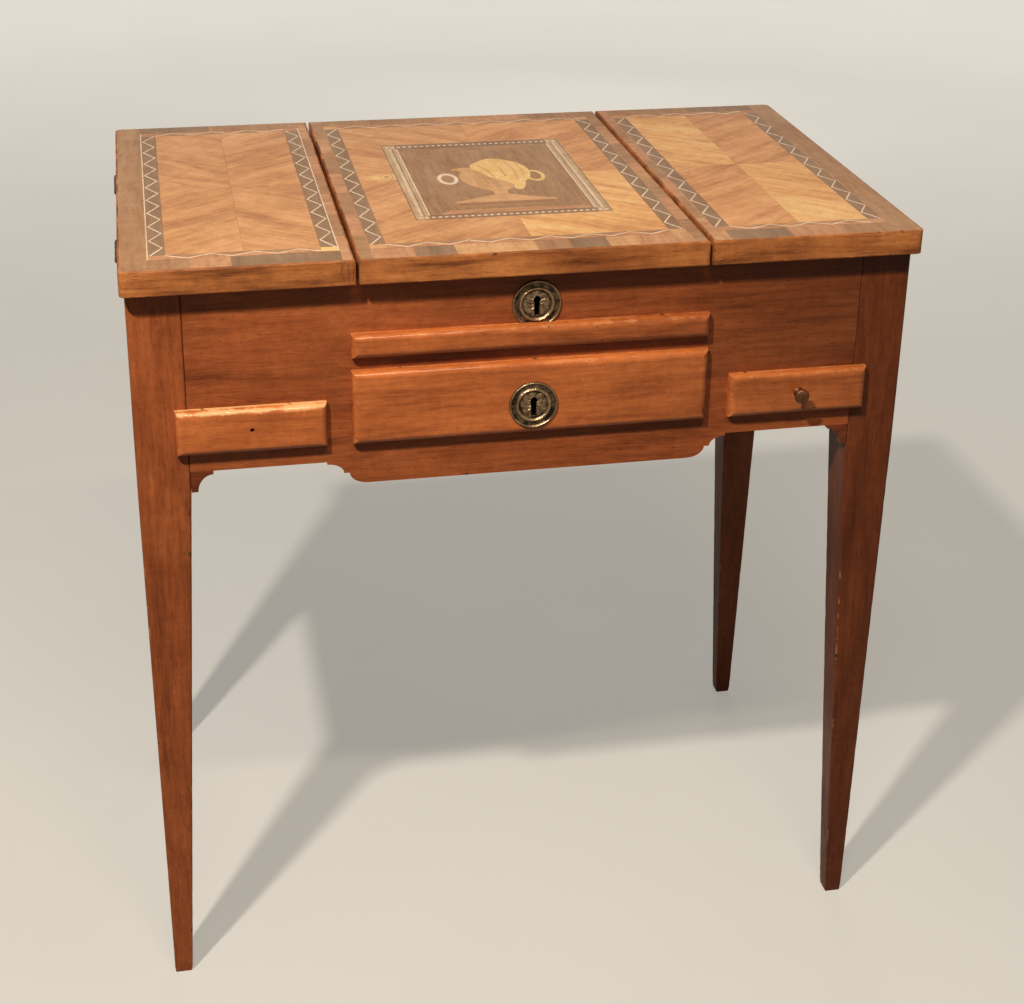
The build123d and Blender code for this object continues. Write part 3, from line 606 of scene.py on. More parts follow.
bite = stretch(clouds(seeded, 60.0, 3.0), 0.5, 0.78) * stretch(to_arris, 0.0, 0.0035, 1.0, 0.0)
inward = (bite * 2.2 + clouds(seeded, 11.0, 2.0) * 0.5) * given["Wear"] * -1.0
outward = maths("NORMALIZE", vector_of(local_x, local_y, 0.0))
moved = wire("ShaderNodeVectorMath", {0: outward, 3: inward}, operation="SCALE")
end_shape(wire("GeometryNodeSetPosition", {"Geometry": marked, "Offset": axis_here + moved}), given["Material"])

# %% [markdown]
# The same tree makes all four legs. Only the two centres, the seed and the wood change from one
# leg to the next. The sizes come from the frame: the leg's box gives its height, its thickness
# and its outer corner. Where the taper starts and how thick the foot is can't be read off a box,
# so those two are written down here.

# %% Four legs
taper_start, foot_side, foot_inset = 534 * millimetre, 17 * millimetre, 4 * millimetre
leg_woods = {"front_left": fruitwood,
             "front_right": (colour(132, 68, 34), colour(112, 54, 25), colour(80, 36, 16)),
             "rear_left": fruitwood,
             # The rear right leg stands in the table's shade, and its wood is lighter than the front right leg's to
             # lift that shade: painted light.
             "rear_right": (colour(172, 92, 42), colour(148, 76, 33), colour(106, 52, 22))}
for number, (place, tones) in enumerate(leg_woods.items()):
    node_name, seed = "leg_" + place, 3.0 * number
    low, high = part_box(node_name)
    stile_side = high.x - low.x
    outer = Vector((max(low.x, high.x, key=abs), max(low.y, high.y, key=abs), 0))
    inward = Vector((-math.copysign(1, low.x), -math.copysign(1, low.y), 0))
    leg_wood = wood_material(node_name + "_fruitwood", "z", 30.0 + seed, tones, dirt=0.55,
                             distance_from="arris_distance", reach=0.0024, wear=0.85, rarity=0.55)
    leg = grow("worn_" + node_name, leg_tree, {
        "Height": high.z, "Taper Start": taper_start, "Stile Side": stile_side, "Foot Side": foot_side,
        "Stile Centre": outer + inward * stile_side / 2, "Foot Centre": outer + inward * (foot_inset + foot_side / 2),
        "Arris Radius": 2.6 * millimetre, "Wear": 0.35 * millimetre, "Seed": seed, "Material": leg_wood})
    finish_faces(leg.data, 40)
    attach(leg, "case")
    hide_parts(node_name)
    print(leg.name, len(leg.data.polygons), "faces")

# %% [markdown]
# The fronts of the drawers and of the slide stand proud of the case on rounded lips, and hands
# have polished them brighter and more orange than the boards behind. They keep the shape of the
# frame and get a clearer piece of wood each. All but the left drawer darken a little to the right,
# which is painted shade for the light that falls off away from the lamp. The lips are lightly worn
# at all their edges. The left drawer's is paler only along the top, partly rubbed nearly bare and
# partly a painted highlight of the lamp on its rounded lip, so the box that its wear is measured
# from runs past the others.

# %% Drawer fronts and slide
bright_fruitwood = (colour(229, 131, 68), colour(202, 109, 52), colour(155, 77, 34))
# The left drawer's pale top edge is partly real wear and partly a painted highlight of the lamp on its rounded lip.
rubbed_and_highlit_lip = {"bare": colour(236, 184, 122), "reach": 0.0035, "wear": 0.75, "rarity": -0.5}
plain_lip = {"reach": 0.0045, "wear": 0.4, "rarity": 0.2}
past_the_lip = 0.05
case_front_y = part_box("upper_front_rail")[0].y
# The darkening to the right on these fronts is painted shade, for light that falls off to the right.
for name, piece, stain_and_shade, lip in (("centre_drawer_front", 41.0, (-0.05, 0.25, 0.76), plain_lip),
                                ("left_drawer_front", 44.0, None, rubbed_and_highlit_lip),
                                ("right_drawer_front", 47.0, (0.1, 0.25, 0.8), plain_lip),
                                ("writing_slide_front", 50.0, (-0.2, 0.2, 0.76), plain_lip)):
    low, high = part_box(name)
    high.y = case_front_y
    if lip is rubbed_and_highlit_lip:
        low.x, high.x, low.z = low.x - past_the_lip, high.x + past_the_lip, low.z - past_the_lip
    lock_hole = keyhole_of("lower_escutcheon") if name == "centre_drawer_front" else None
    dress([name], wood_material(name + "_wood", "x", piece, bright_fruitwood, pores=0.8, dirt=0.3,
                                keyhole=lock_hole, stain_and_shade=stain_and_shade, corners=(low, high), roughness=0.34, coat=0.4,
                                coat_roughness=0.08, **lip))

# %% [markdown]
# Inside the case nobody polished anything. The drawer sides, floors, ledges and partitions are
# plain planed wood, paler and browner than the outside, dull and a little dusty.

# %% Unpolished inside wood
plain_wood = (colour(196, 158, 112), colour(168, 128, 86), colour(122, 86, 54))
inside = {"x": ["centre_floor", "left_drawer_back", "right_drawer_back", "centre_drawer_back",
                "writing_slide_board"],
          "y": ["partition_left", "partition_right", "left_well_floor", "right_well_floor", "small_drawer_runners",
                "centre_drawer_runners", "slide_runners", "left_drawer_sides", "right_drawer_sides",
                "centre_drawer_sides", "left_drawer_bottom", "right_drawer_bottom", "centre_drawer_bottom"]}
for grain, names in inside.items():
    for number, name in enumerate(names):
        dress([name], wood_material(name + "_wood", grain, 60.0 + 2.0 * number, plain_wood, figure=0.8, lines=1.2,
                                    pores=1.2, ripple=0.1, dirt=0.7, roughness=0.62, coat=0.0, holes=0.6))
print("dressed", sum(len(names) for names in inside.values()), "inside nodes")

# %% [markdown]
# The three panels of the top are solid boards. Their thick edges show at the front and sides, a
# browner wood than the case, with dirt in the worn rims and hairline cracks in the front edges
# of both leaves. The inlay is laid on them afterwards, as thin sheets of veneer, so here the
# whole board gets its edge wood, and the mirror frame under the lid gets the same.

# %% Boards of the top
edge_wood = (colour(217, 139, 78), colour(188, 113, 60), colour(118, 65, 34))


def cracked_place(name, share, half_width, height, half_height):
    """A cracked place on a board's front edge, at a share of its width and of its height."""
    low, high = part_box(name)
    thickness = high.z - low.z
    middle = (low.x + (high.x - low.x) * share, low.y, low.z + thickness * height)
    return (middle, (half_width, 0.012, thickness * half_height))


for name, piece, splits in (
        ("left_leaf", 71.0, ("up", [cracked_place("left_leaf", 0.965, 0.01, 0.5, 0.7)])),
        ("centre_lid", 74.0, ()),
        ("right_leaf", 77.0, ("along", [cracked_place("right_leaf", 0.05, 0.008, 0.1, 0.35),
                                        cracked_place("right_leaf", 0.77, 0.02, 1.0, 0.35)]))):
    dress([name], wood_material(name + "_edge_wood", "x", piece, edge_wood, figure=2.0, dirt=1.0, holes=2.4,
                                cracks=splits, corners=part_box(name), bare=colour(112, 62, 34), reach=0.0022,
                                wear=0.6, roughness=0.4))
dress(["mirror_frame"], wood_material("mirror_frame_wood", "y", 80.0, edge_wood, dirt=0.5))
top_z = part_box("centre_lid")[1].z
print("top at", round(top_z / millimetre), "mm")

# %% [markdown]
# The picture on the top is marquetry: shapes cut from veneers of different woods and fitted
# together like a puzzle. It is built the same way here. Each shape is a thin closed slab of
# veneer let into the board, and carries its own grain direction in a UV map, because a cutter
# turns the sheet before sawing each shape. The finish reads that map, so two neighbours of the
# same wood still meet with their grain at an angle, which is the whole charm of the work. A
# hair of gap is left round each shape, where the dark glue shows on the real one. One sheet has
# a knot: dark rings in wood that is more golden than the rest.

# %% Woods of the veneers
veneer_tones = {
    "honey": ((249, 200, 126), (241, 175, 103), (205, 138, 75), 1.6, 1.0),
    "amber": ((236, 172, 110), (216, 150, 89), (181, 116, 65), 1.4, 0.9),
    "rose": ((240, 171, 106), (221, 151, 87), (184, 116, 63), 1.4, 0.9),
    "brown": ((190, 139, 89), (174, 122, 74), (144, 93, 52), 0.9, 0.8),
    "mauve": ((219, 161, 111), (200, 138, 89), (166, 107, 64), 0.9, 0.8),
    "grey": ((166, 124, 84), (149, 109, 71), (122, 86, 54), 0.8, 0.7),
    "panel": ((183, 135, 89), (167, 119, 73), (139, 94, 56), 0.9, 0.9),
    "tan": ((232, 176, 118), (216, 158, 100), (184, 128, 78), 0.9, 0.8),
    "cream": ((252, 210, 134), (244, 194, 114), (218, 162, 88), 0.8, 0.6),
    "pale": ((252, 226, 196), (246, 214, 182), (224, 186, 150), 0.5, 0.4),
    "dark": ((112, 78, 52), (96, 66, 44), (76, 50, 32), 0.6, 0.5),
    "ash": ((214, 176, 132), (200, 160, 116), (168, 128, 90), 0.7, 1.4),
}
knots = {"amber": (-100 * millimetre, 11 * millimetre, 0.0)}


def knotted(shown, place, knot):
    """The wood round a knot: golden about it, with dark wavy rings in it."""
    from_knot = place - knot
    around = length_of(from_knot * (0.45, 1.0, 0.0))
    beside = length_of(from_knot * (1.0, 0.65, 0.0))
    golden = stretch(around, 0.003, 0.015, 0.7, 0.0, smooth=True)
    rings_here = stretch(maths("SINE", beside * 1500.0 + clouds(place, 90.0, 3.0) * 9.0), 0.0, 1.0, 0.0, 0.8)
    near = stretch(beside, 0.003, 0.009, 1.0, 0.0, smooth=True)
    return blend(rings_here * near, blend(golden, shown, colour(250, 204, 122)), colour(138, 82, 42))


def veneer_material(name, wood, on_sheet=True):
    """A veneer. Its grain follows the UV map of its sheet, or else the place on the table."""
    *tones, figure, lines = veneer_tones[wood]
    material = new_material(name)
    place = object_place()
    sheet = wire("ShaderNodeUVMap", uv_map="grain") if on_sheet else place
    cut = put_grain(sheet, [colour(*tone) for tone in tones],
                    {"Figure": figure, "Lines": lines, "Pores": 0.6, "Ripple": 0.35, "Wander": 0.02})
    shown = knotted(cut["Color"], place, knots[wood]) if wood in knots else cut["Color"]
    aged = put_group(age_marks, {"Vector": place, "Color": shown, "Dirt": 0.3, "Holes": 0.5})
    end_material(cut["Height"] * 0.12 + aged["Height"], 0.0005, 0.4, {
        "Base Color": aged["Color"], "Roughness": clamped(cut["Shine"] + aged["Dullness"] + 0.36),
        "Coat Weight": 0.3, "Coat Roughness": 0.25, "IOR": 1.48})
    return material


veneers = {wood: veneer_material(wood + "_veneer", wood) for wood in veneer_tones}
veneer_order = list(veneers)
print(len(veneers), "veneers")

# %% Helpers for inlay
veneer_depth = 0.6 * millimetre
glue_gap, tight_gap = 0.12 * millimetre, 0.03 * millimetre
lift_step = 0.02 * millimetre


def rectangle(x0, x1, y0, y1):
    (x0, x1), (y0, y1) = sorted((x0, x1)), sorted((y0, y1))
    return [(x0, y0), (x1, y0), (x1, y1), (x0, y1)]


def drawn_in(outline, gap):
    """The same outline moved in by a gap on every side."""
    count = len(outline)
    area = sum(outline[i][0] * outline[(i + 1) % count][1] - outline[(i + 1) % count][0] * outline[i][1]
               for i in range(count))
    points = [Vector(p) for p in (outline if area > 0 else outline[::-1])]
    moved = []
    for i, point in enumerate(points):
        before = (point - points[i - 1]).normalized()
        after = (points[(i + 1) % count] - point).normalized()
        normal_before, normal_after = Vector((-before.y, before.x)), Vector((-after.y, after.x))
        middle = normal_before + normal_after
        if middle.length < 0.2:
            moved.append(point + normal_before * gap)
        else:
            moved.append(point + middle * (gap / max(middle.dot(normal_before), 0.35)))
    return moved


class Marquetry:
    """Collects the veneers of one panel and turns them into one mesh. across says where on the
    table a measure across the panel lies."""

    def __init__(self, name, body, seed, across=lambda x: x):
        self.name, self.body, self.across = name, body, across
        self.bm = bmesh.new()
        self.grain = self.bm.loops.layers.uv.new("grain")
        self.luck = random.Random(seed)

    def lay(self, outline_mm, wood, grain_degrees, layer=1, gap=glue_gap):
        """Lets one shape into the board, with its grain at an angle from +X."""
        points = drawn_in([(self.across(x) * millimetre, y * millimetre) for x, y in outline_mm], gap)
        top = top_z + layer * lift_step
        upper = [self.bm.verts.new((p.x, p.y, top)) for p in points]
        lower = [self.bm.verts.new((p.x, p.y, top_z - veneer_depth)) for p in points]
        faces = [self.bm.faces.new(upper), self.bm.faces.new(lower[::-1])]
        for i in range(len(points)):
            j = (i + 1) % len(points)
            faces.append(self.bm.faces.new((lower[i], lower[j], upper[j], upper[i])))
        angle = math.radians(grain_degrees)
        shift_u, shift_v = self.luck.uniform(0, 9), self.luck.uniform(0, 9)
        for face in faces:
            face.material_index = veneer_order.index(wood)
            for loop in face.loops:
                x, y = loop.vert.co.x, loop.vert.co.y
                along = x * math.cos(angle) + y * math.sin(angle)
                across = y * math.cos(angle) - x * math.sin(angle)
                loop[self.grain].uv = (along + shift_u, across + shift_v)

    def finish(self):
        piece = piece_of(self.name, self.bm, veneers.values())
        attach(piece, self.body)
        print(piece.name, len(piece.data.polygons), "faces")


print("veneer", veneer_depth / millimetre, "mm deep")

# %% [markdown]
# All three panels have the same scheme, from the outside in: a plain border of several pieces,
# dark bands that a pale zigzag string runs along, and a field of four pieces whose grain runs to
# the centre like the arms of an X. So each of these gets one helper, and a panel is then a list
# of its own measures, in millimetres, and its own woods.

# %% Bands and fields
half_depth, rim, half_string = 220, 1.8, 0.5
field_front, field_rear = -182.0, 187.0
band_front, band_rear = -193.0, 198.0
middle_y = 2.0
zigzag_swing = 8.6
border_reach, border_piece = 218, 62


def lay_border(work, woods, ends, y0, y1):
    """A border at the front or rear, of pieces side by side, cut across the grain."""
    for wood, start, end in zip(woods, ends, ends[1:]):
        work.lay(rectangle(start, end, y0, y1), wood, 90, gap=tight_gap)


def lay_borders(work, front_woods, front_ends, rear_woods, rear_ends):
    lay_border(work, front_woods, front_ends, -half_depth + rim, band_front - half_string)
    lay_border(work, rear_woods, rear_ends, band_rear + half_string, half_depth - rim)


def lay_side_border(work, x0, x1, woods):
    """A border along one side, of short pieces in two woods by turns."""
    for number, start in enumerate(range(-border_reach, border_reach, border_piece)):
        end = min(start + border_piece, half_depth - rim)
        work.lay(rectangle(x0, x1, start, end), woods[number % 2], 0, gap=tight_gap)


def lay_side_band(work, x0, x1, square_woods):
    """A band along one side, with a square at its front end and one at its rear end."""
    work.lay(rectangle(x0, x1, field_front, field_rear), "grey", 90)
    for wood, low, high in zip(square_woods, (band_front, field_rear), (field_front, band_rear)):
        work.lay(rectangle(x0, x1, low, high), wood, 0)


def lay_cross_bands(work, start, end, corners):
    """The front and rear bands, with darker triangles between the zigzag and the field."""
    step = (end - start) / (corners - 1)
    for outer, field_line, towards in ((band_front, field_front, 1), (band_rear, field_rear, -1)):
        work.lay(rectangle(start, end, outer, field_line), "mauve", 90)
        tip = field_line - towards * (zigzag_swing + 0.8)
        for i in range(1, corners - 1, 2):
            work.lay([(start + step * (i - 1), field_line), (start + step * i, tip),
                      (start + step * (i + 1), field_line)], "brown", 0, layer=2, gap=0.0)


def lay_field(work, start, middle, end, woods, degrees):
    """Four pieces with their grain to the centre: rear first, then front."""
    for wood, x0, x1, y0, y1, lean in zip(woods, (start, middle) * 2, (middle, end) * 2,
                                          (middle_y, middle_y, field_front, field_front),
                                          (field_rear, field_rear, middle_y, middle_y), (1, -1, -1, 1)):
        work.lay(rectangle(x0, x1, y0, y1), wood, lean * degrees)


print("field", field_rear - field_front, "mm deep")

# %% [markdown]
# The leaves mirror each other, so one list of shapes serves both. It measures across from the
# outer side, and the sign of the side turns that into a place on the table. Their outer border
# is one piece with rounded corners.

# %% Veneers of the two leaves
half_width, corner_radius = 358, 4.6
border, band_in, band_out = 25.5, 40.5, 173.0
leaf_inner_string, leaf_inner_rim = 188.0, 196.8
inner_end = leaf_inner_string + half_string
leaf_corners = 8


def corner_arc(centre_x, centre_y, start_degrees, steps=5):
    """A quarter round, clockwise from its start."""
    angles = [math.radians(start_degrees - 90 * i / steps) for i in range(steps + 1)]
    return [(centre_x + corner_radius * math.cos(a), centre_y + corner_radius * math.sin(a)) for a in angles]


leaf_woods = {
    "left": {"seed": 11, "field": ["amber"] * 4, "square": "cream", "string": "pale",
             "front": ["brown", "mauve", "grey"], "front_ends": [border - half_string, 60, 95, inner_end]},
    "right": {"seed": 12, "field": ["rose", "honey", "honey", "rose"], "square": "mauve", "string": "mauve",
              "front": ["brown", "mauve", "grey", "mauve"],
              "front_ends": [border - half_string, 73, 123, 181, inner_end]}}
for (side, woods), sign in zip(leaf_woods.items(), (-1, 1)):
    work = Marquetry(side + "_leaf_marquetry", side + "_leaf", woods["seed"],
                     lambda x, sign=sign: sign * (half_width - x))
    outer_border = [(border - half_string, half_depth - rim), (border - half_string, -half_depth + rim)]
    outer_border += corner_arc(rim + corner_radius, -half_depth + rim + corner_radius, -90)
    outer_border += corner_arc(rim + corner_radius, half_depth - rim - corner_radius, 180)
    work.lay(outer_border, "brown", 90)
    lay_borders(work, woods["front"], woods["front_ends"], ["grey", "brown"], [border - half_string, 96, inner_end])
    lay_side_border(work, inner_end, leaf_inner_rim, ["mauve", "brown"])
    lay_side_band(work, border, band_in, ["mauve", "mauve"])
    lay_side_band(work, band_out, leaf_inner_string, [woods["square"], "mauve"])
    lay_cross_bands(work, band_in, band_out, leaf_corners)
    for x in (border, leaf_inner_string):
        work.lay(rectangle(x - half_string, x + half_string, band_front, band_rear), woods["string"], 90,
                 layer=2, gap=0.0)
    lay_field(work, band_in, (band_in + band_out) / 2, band_out, woods["field"], sign * 36)
    work.finish()

# %% [markdown]
# The lid has a wider field, and in its middle a dark picture panel in a chequered frame. On the
# panel stands a two-handled urn with a cloth over its shoulder, a stock ornament of inlaid
# furniture. It is drawn here from simple outlines: the cup is a smooth line through a few
# points, mirrored about the middle, and the rings are ovals with a hole.

# %% Veneers of the lid
lid_half, lid_band_out, lid_band_in = 154.2, 143.0, 128.0
lid_end, lid_corners = lid_band_out + half_string, 15
frame_x, frame_front, frame_rear = 92.0, -123.0, 119.0
panel_x, panel_front, panel_rear = 78.0, -111.0, 103.0
frame_line = 0.9

lid_work = Marquetry("centre_lid_marquetry", "centre_lid", 13)
lay_borders(lid_work, ["mauve", "grey", "tan", "brown", "grey", "tan", "mauve"],
            [-lid_end, -106, -70, 2, 32, 66, 93, lid_end], ["brown", "mauve", "brown"], [-lid_end, -20, 70, lid_end])
for sign in (-1, 1):
    lay_side_border(lid_work, sign * lid_half, sign * lid_end, ["brown", "mauve"])
    lay_side_band(lid_work, sign * lid_band_out, sign * lid_band_in, ["tan", "tan"])
lay_cross_bands(lid_work, -lid_band_in, lid_band_in, lid_corners)
lay_field(lid_work, -lid_band_in, 2, lid_band_in, ["amber", "rose", "amber", "honey"], -36)
lid_work.lay(rectangle(-frame_x, frame_x, frame_front, frame_rear), "dark", 90, layer=2)
for low, high in ((frame_front, panel_front), (panel_rear, frame_rear)):
    lid_work.lay(rectangle(-frame_x + frame_line, frame_x - frame_line, low + frame_line, high - frame_line), "grey", 0,
                 layer=2.4, gap=0.0)
lid_work.lay(rectangle(-panel_x, panel_x, panel_front, panel_rear), "panel", 90, layer=3)
lid_work.lay([(-70, panel_front), (panel_x, panel_front), (68, -102), (20, -99.5), (-56, -99.5)], "mauve", 0, layer=4)
lid_work.lay([(-panel_x, panel_rear), (-panel_x, 93), (50, 91.5), (panel_x, panel_rear)], "brown", 0, layer=4)
for sign in (-1, 1):
    lid_work.lay(rectangle(sign * (panel_x + frame_line), sign * (frame_x - frame_line), frame_front + 1,
                           frame_rear - 1), "ash", 90, layer=2.6, gap=0.0)
print("lid field and panel laid")

# %% The urn
def smooth_line(points, steps=6):
    """A smooth line through the points (Catmull-Rom)."""
    line = []
    ends = [points[0]] + list(points) + [points[-1]]
    for i in range(1, len(ends) - 2):
        p0, p1, p2, p3 = (Vector(p) for p in ends[i - 1:i + 3])
        for step in range(steps):
            t = step / steps
            line.append(tuple(0.5 * (2 * p1 + (p2 - p0) * t + (2 * p0 - 5 * p1 + 4 * p2 - p3) * t ** 2
                                     + (3 * p1 - p0 - 3 * p2 + p3) * t ** 3)))
    return line + [points[-1]]


def mirrored_outline(right_side):
    """A closed outline from its right half, drawn from the bottom up."""
    return right_side + [(-x, y) for x, y in reversed(right_side)]


def oval(centre, reach, angles):
    return [(centre[0] + reach[0] * math.cos(a), centre[1] + reach[1] * math.sin(a)) for a in angles]


urn_cup = mirrored_outline(smooth_line([(8, -60), (6.5, -53), (9, -46), (18, -36), (27, -22), (31, -5), (30, 8),
                                        (27, 16), (33, 24)]))
urn_foot = mirrored_outline([(48, -80), (50, -77), (24, -66), (10, -59)])
cloth = smooth_line([(-15, 27), (-14, 38), (-5, 48), (5, 57), (17, 55), (29, 46), (37, 34), (41, 18), (40, 2),
                     (36, -12), (31, -20), (28, -34), (23, -45), (16, -42), (17, -30), (12, -19), (5, -12),
                     (-1, -4), (-6, 8), (-11, 18)])
folds = [[(-8, 36), (-6, 37), (1, 18), (4, -2), (2, -3), (-1, 17)],
         [(6, 50), (8, 50), (14, 28), (16, -2), (13.5, -4), (12, 27)],
         [(21, 47), (23, 46), (27, 22), (26, -14), (23.5, -13), (25, 22)],
         [(31, 38), (32.5, 37), (35, 16), (33, -4), (31.5, -3), (33, 16)]]
lid_work.lay(rectangle(-46, 46, -92, -81), "brown", 0, layer=4)
lid_work.lay(urn_foot, "tan", 0, layer=5)
lid_work.lay(urn_cup, "tan", 90, layer=6)
lid_work.lay([(-35, 21), (-14, 23), (-16, 31), (-35, 28)], "tan", 0, layer=7)
for centre, ring_wood in (((-43, -4), "pale"), ((43, -4), "cream")):
    for start in (0, math.pi):
        half_turn = [start + math.pi * i / 14 for i in range(15)]
        half_ring = oval(centre, (10, 18), half_turn) + oval(centre, (6.2, 12.5), half_turn[::-1])
        lid_work.lay(half_ring, ring_wood, 90, layer=5, gap=0.0)
lid_work.lay(cloth, "cream", 70, layer=8)
for fold in folds:
    lid_work.lay(fold, "tan", 90, layer=9, gap=0.0)
print("urn of", len(urn_cup) + len(cloth), "points")

# %% [markdown]
# Thin pale strings of boxwood edge the bands, and a string bent into a zigzag runs down the
# middle of each. A cabinet maker bends a whole set of them round the same pins, and a tree of
# nodes does the same: one tree makes a zigzag from its length, its number of corners and its
# swing. A second tree sets out a row of small blocks, for the chequered frame. Straight strings
# are only narrow veneers, and are laid as such.

# %% Trees for strings and chequers
string_side = 1.8 * millimetre
string_wood = veneer_material("string_boxwood", "pale", on_sheet=False)

zigzag_tree, given = start_shape("zigzag_string", {"number": ["Reach", "Swing", "Side"], "count": ["Corners"]})
step_length = given["Reach"] / (given["Corners"] - 1.0)
zigzag_line = wire("GeometryNodeMeshLine", {"Count": given["Corners"], "Offset": vector_of(step_length, 0.0, 0.0)})
odd = maths("MODULO", wire("GeometryNodeInputIndex"), 2.0)
sideways = vector_of(0.0, odd * given["Swing"], 0.0)
zigzag_line = wire("GeometryNodeSetPosition", {"Geometry": zigzag_line, "Offset": sideways})
zigzag_line = wire("GeometryNodeMeshToCurve", {0: zigzag_line})
section = wire("GeometryNodeCurvePrimitiveQuadrilateral", {"Width": given["Side"], "Height": given["Side"]})
end_shape(wire("GeometryNodeCurveToMesh", {"Curve": zigzag_line, "Profile Curve": section, "Fill Caps": True}),
          given["Material"])

row_tree, given = start_shape("row_of_blocks", {"count": ["Count"], "number": ["Pitch"], "vector": ["Block"]})
row_points = wire("GeometryNodeMeshLine", {"Count": given["Count"], "Offset": vector_of(given["Pitch"], 0.0, 0.0)})
block = wire("GeometryNodeMeshCube", {"Size": given["Block"]})
end_shape(wire("GeometryNodeInstanceOnPoints", {"Points": row_points, "Instance": block}), given["Material"])

# %% Zigzags and chequers
side_swing, side_margin, side_corners = 11.4, 1.8, 20
field_line_gap = 0.8


def run_matrix(x, y, degrees, flip=1):
    """Places a run whose own start is at the origin and whose own length is along X."""
    sunk = top_z - string_side / 2 + 3.6 * lift_step
    return (Matrix.Translation((x * millimetre, y * millimetre, sunk)) @ Matrix.Rotation(math.radians(degrees), 4, "Z")
            @ Matrix.Diagonal((1, flip, 1, 1)))


def zigzag_run(x, y, degrees, reach, corners, swing, flip=1):
    values = {"Reach": reach * millimetre, "Corners": corners, "Swing": swing * millimetre, "Side": string_side}
    return (zigzag_tree, values, run_matrix(x, y, degrees, flip))


def side_run(x, flip):
    return zigzag_run(x, field_front, 90, field_rear - field_front, side_corners, side_swing, flip)


def cross_runs(start, reach, corners):
    return [zigzag_run(start, field_front - field_line_gap, 0, reach, corners, zigzag_swing, flip=-1),
            zigzag_run(start, field_rear + field_line_gap, 0, reach, corners, zigzag_swing)]


def block_run(x, y, degrees, count, length, width):
    values = {"Count": count, "Pitch": 2 * length * millimetre,
              "Block": (length * millimetre, width * millimetre, string_side)}
    return (row_tree, values, run_matrix(x, y, degrees))


def join_runs(name, body, runs):
    """Grows every run, puts it in its place and keeps all of them as one mesh."""
    bm = bmesh.new()
    for tree, values, matrix in runs:
        part = grow(name + "_run", tree, {**values, "Material": string_wood})
        part.data.transform(matrix)
        bm.from_mesh(part.data)
        bpy.data.objects.remove(part)
    bmesh.ops.recalc_face_normals(bm, faces=bm.faces)
    piece = piece_of(name, bm, [string_wood])
    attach(piece, body)
    print(piece.name, len(piece.data.polygons), "faces")


for side, sign in (("left", -1), ("right", 1)):
    start_x = sign * (half_width - (band_in if side == "left" else band_out))
    join_runs(side + "_leaf_strings", side + "_leaf",
              [side_run(sign * (half_width - border - side_margin), sign),
               side_run(sign * (half_width - leaf_inner_string + side_margin), -sign),
               *cross_runs(start_x, band_out - band_in, leaf_corners)])

runs = [side_run(sign * (lid_band_out - side_margin), sign) for sign in (-1, 1)]
runs += cross_runs(-lid_band_in, 2 * lid_band_in, lid_corners)
square, hatch = 3.0, 0.9
square_count = int((2 * frame_x - 8) / (2 * square)) + 1
hatch_count = int((frame_rear - frame_front - 26) / (2 * hatch))
for y in ((frame_front + panel_front) / 2, (frame_rear + panel_rear) / 2):
    runs.append(block_run(-(square_count - 1) * square, y, 0, square_count, square, 3.2))
for x in (-(frame_x + panel_x) / 2, (frame_x + panel_x) / 2):
    runs.append(block_run(x, frame_front + 13, 90, hatch_count, hatch, 3.0))
join_runs("centre_lid_strings", "centre_lid", runs)

for sign in (-1, 1):
    for middle, half, front, rear, wood, layer in ((lid_band_out, 0.4, field_front, field_rear, "mauve", 2),
                                                   (panel_x, 0.7, panel_front, panel_rear, "pale", 4.4),
                                                   (panel_x + 4.6, 0.35, panel_front, panel_rear, "dark", 4.4)):
        lid_work.lay(rectangle(sign * middle - half, sign * middle + half, front, rear), wood, 90, layer=layer,
                     gap=0.0)
lid_work.finish()

# %% [markdown]
# The round keyhole plates are thin brass, stamped from behind in a die: a raised rim, a hollow
# channel with two pins in it, a bright inner ring, and a grained boss round the keyhole. They
# have one shape turned about an axis, with a hole that isn't round. So the mesh is a set of
# rings, where the innermost follows the keyhole and each next one is rounder, and the stamping
# is added to the height of the points. Every point also keeps its height, because polish stays
# on the high parts, and the low ones are darker, partly dirt and patina and partly painted shade.
# The upper plate is cut off straight at the bottom.

# %% Old brass
def brass_material(name, bright=colour(206, 168, 128), dark=colour(38, 26, 16), relief_name=None, roughness=0.26):
    material = new_material(name)
    place = object_place()
    cloud = clouds(place, 160.0, 6.0, 0.65)
    grains = wire("ShaderNodeTexVoronoi", {"Vector": place, "Scale": 900.0}, "Distance")
    polish_and_shade = stretch(cloud, 0.35, 0.7)
    if relief_name:
        relief = wire("ShaderNodeAttribute", output="Fac", attribute_name=relief_name)
        # Low places get the dark colour: dirt and patina, with painted shade in the hollows.
        polish_and_shade = clamped(polish_and_shade * 0.5 + stretch(relief, 0.1, 0.95, -0.1, 0.5))
    end_material(cloud * 0.8 + grains * 0.4, 0.0006, 0.8, {
        "Base Color": blend(polish_and_shade, dark, bright), "Metallic": stretch(polish_and_shade, 0.0, 0.6, 0.75, 1.0),
        "Roughness": roughness + 0.18 - polish_and_shade * 0.26})
    return material


plate_brass = brass_material("stamped_brass", relief_name="relief")
hinge_brass = brass_material("hinge_brass", colour(150, 122, 78), colour(64, 48, 32), roughness=0.45)
lock_metal = brass_material("lock_metal", colour(140, 120, 88), colour(58, 48, 36), roughness=0.5)
knob_bronze = brass_material("knob_bronze", colour(142, 92, 62), colour(84, 50, 34), roughness=0.36)
iron = brass_material("screw_iron", colour(120, 112, 104), colour(48, 40, 34), roughness=0.5)
dress([n for n in nodes if "hinge_plates" in n or "case_plates" in n], hinge_brass)
dress(["hinge_pins", "lid_staple_plate", "upper_escutcheon_pins", "lower_escutcheon_pins"], hinge_brass)
dress([n for n in nodes if n.endswith(("lock_case", "lock_bolt"))], lock_metal)
dress(["right_drawer_knob"], knob_bronze)
print("five old metals")

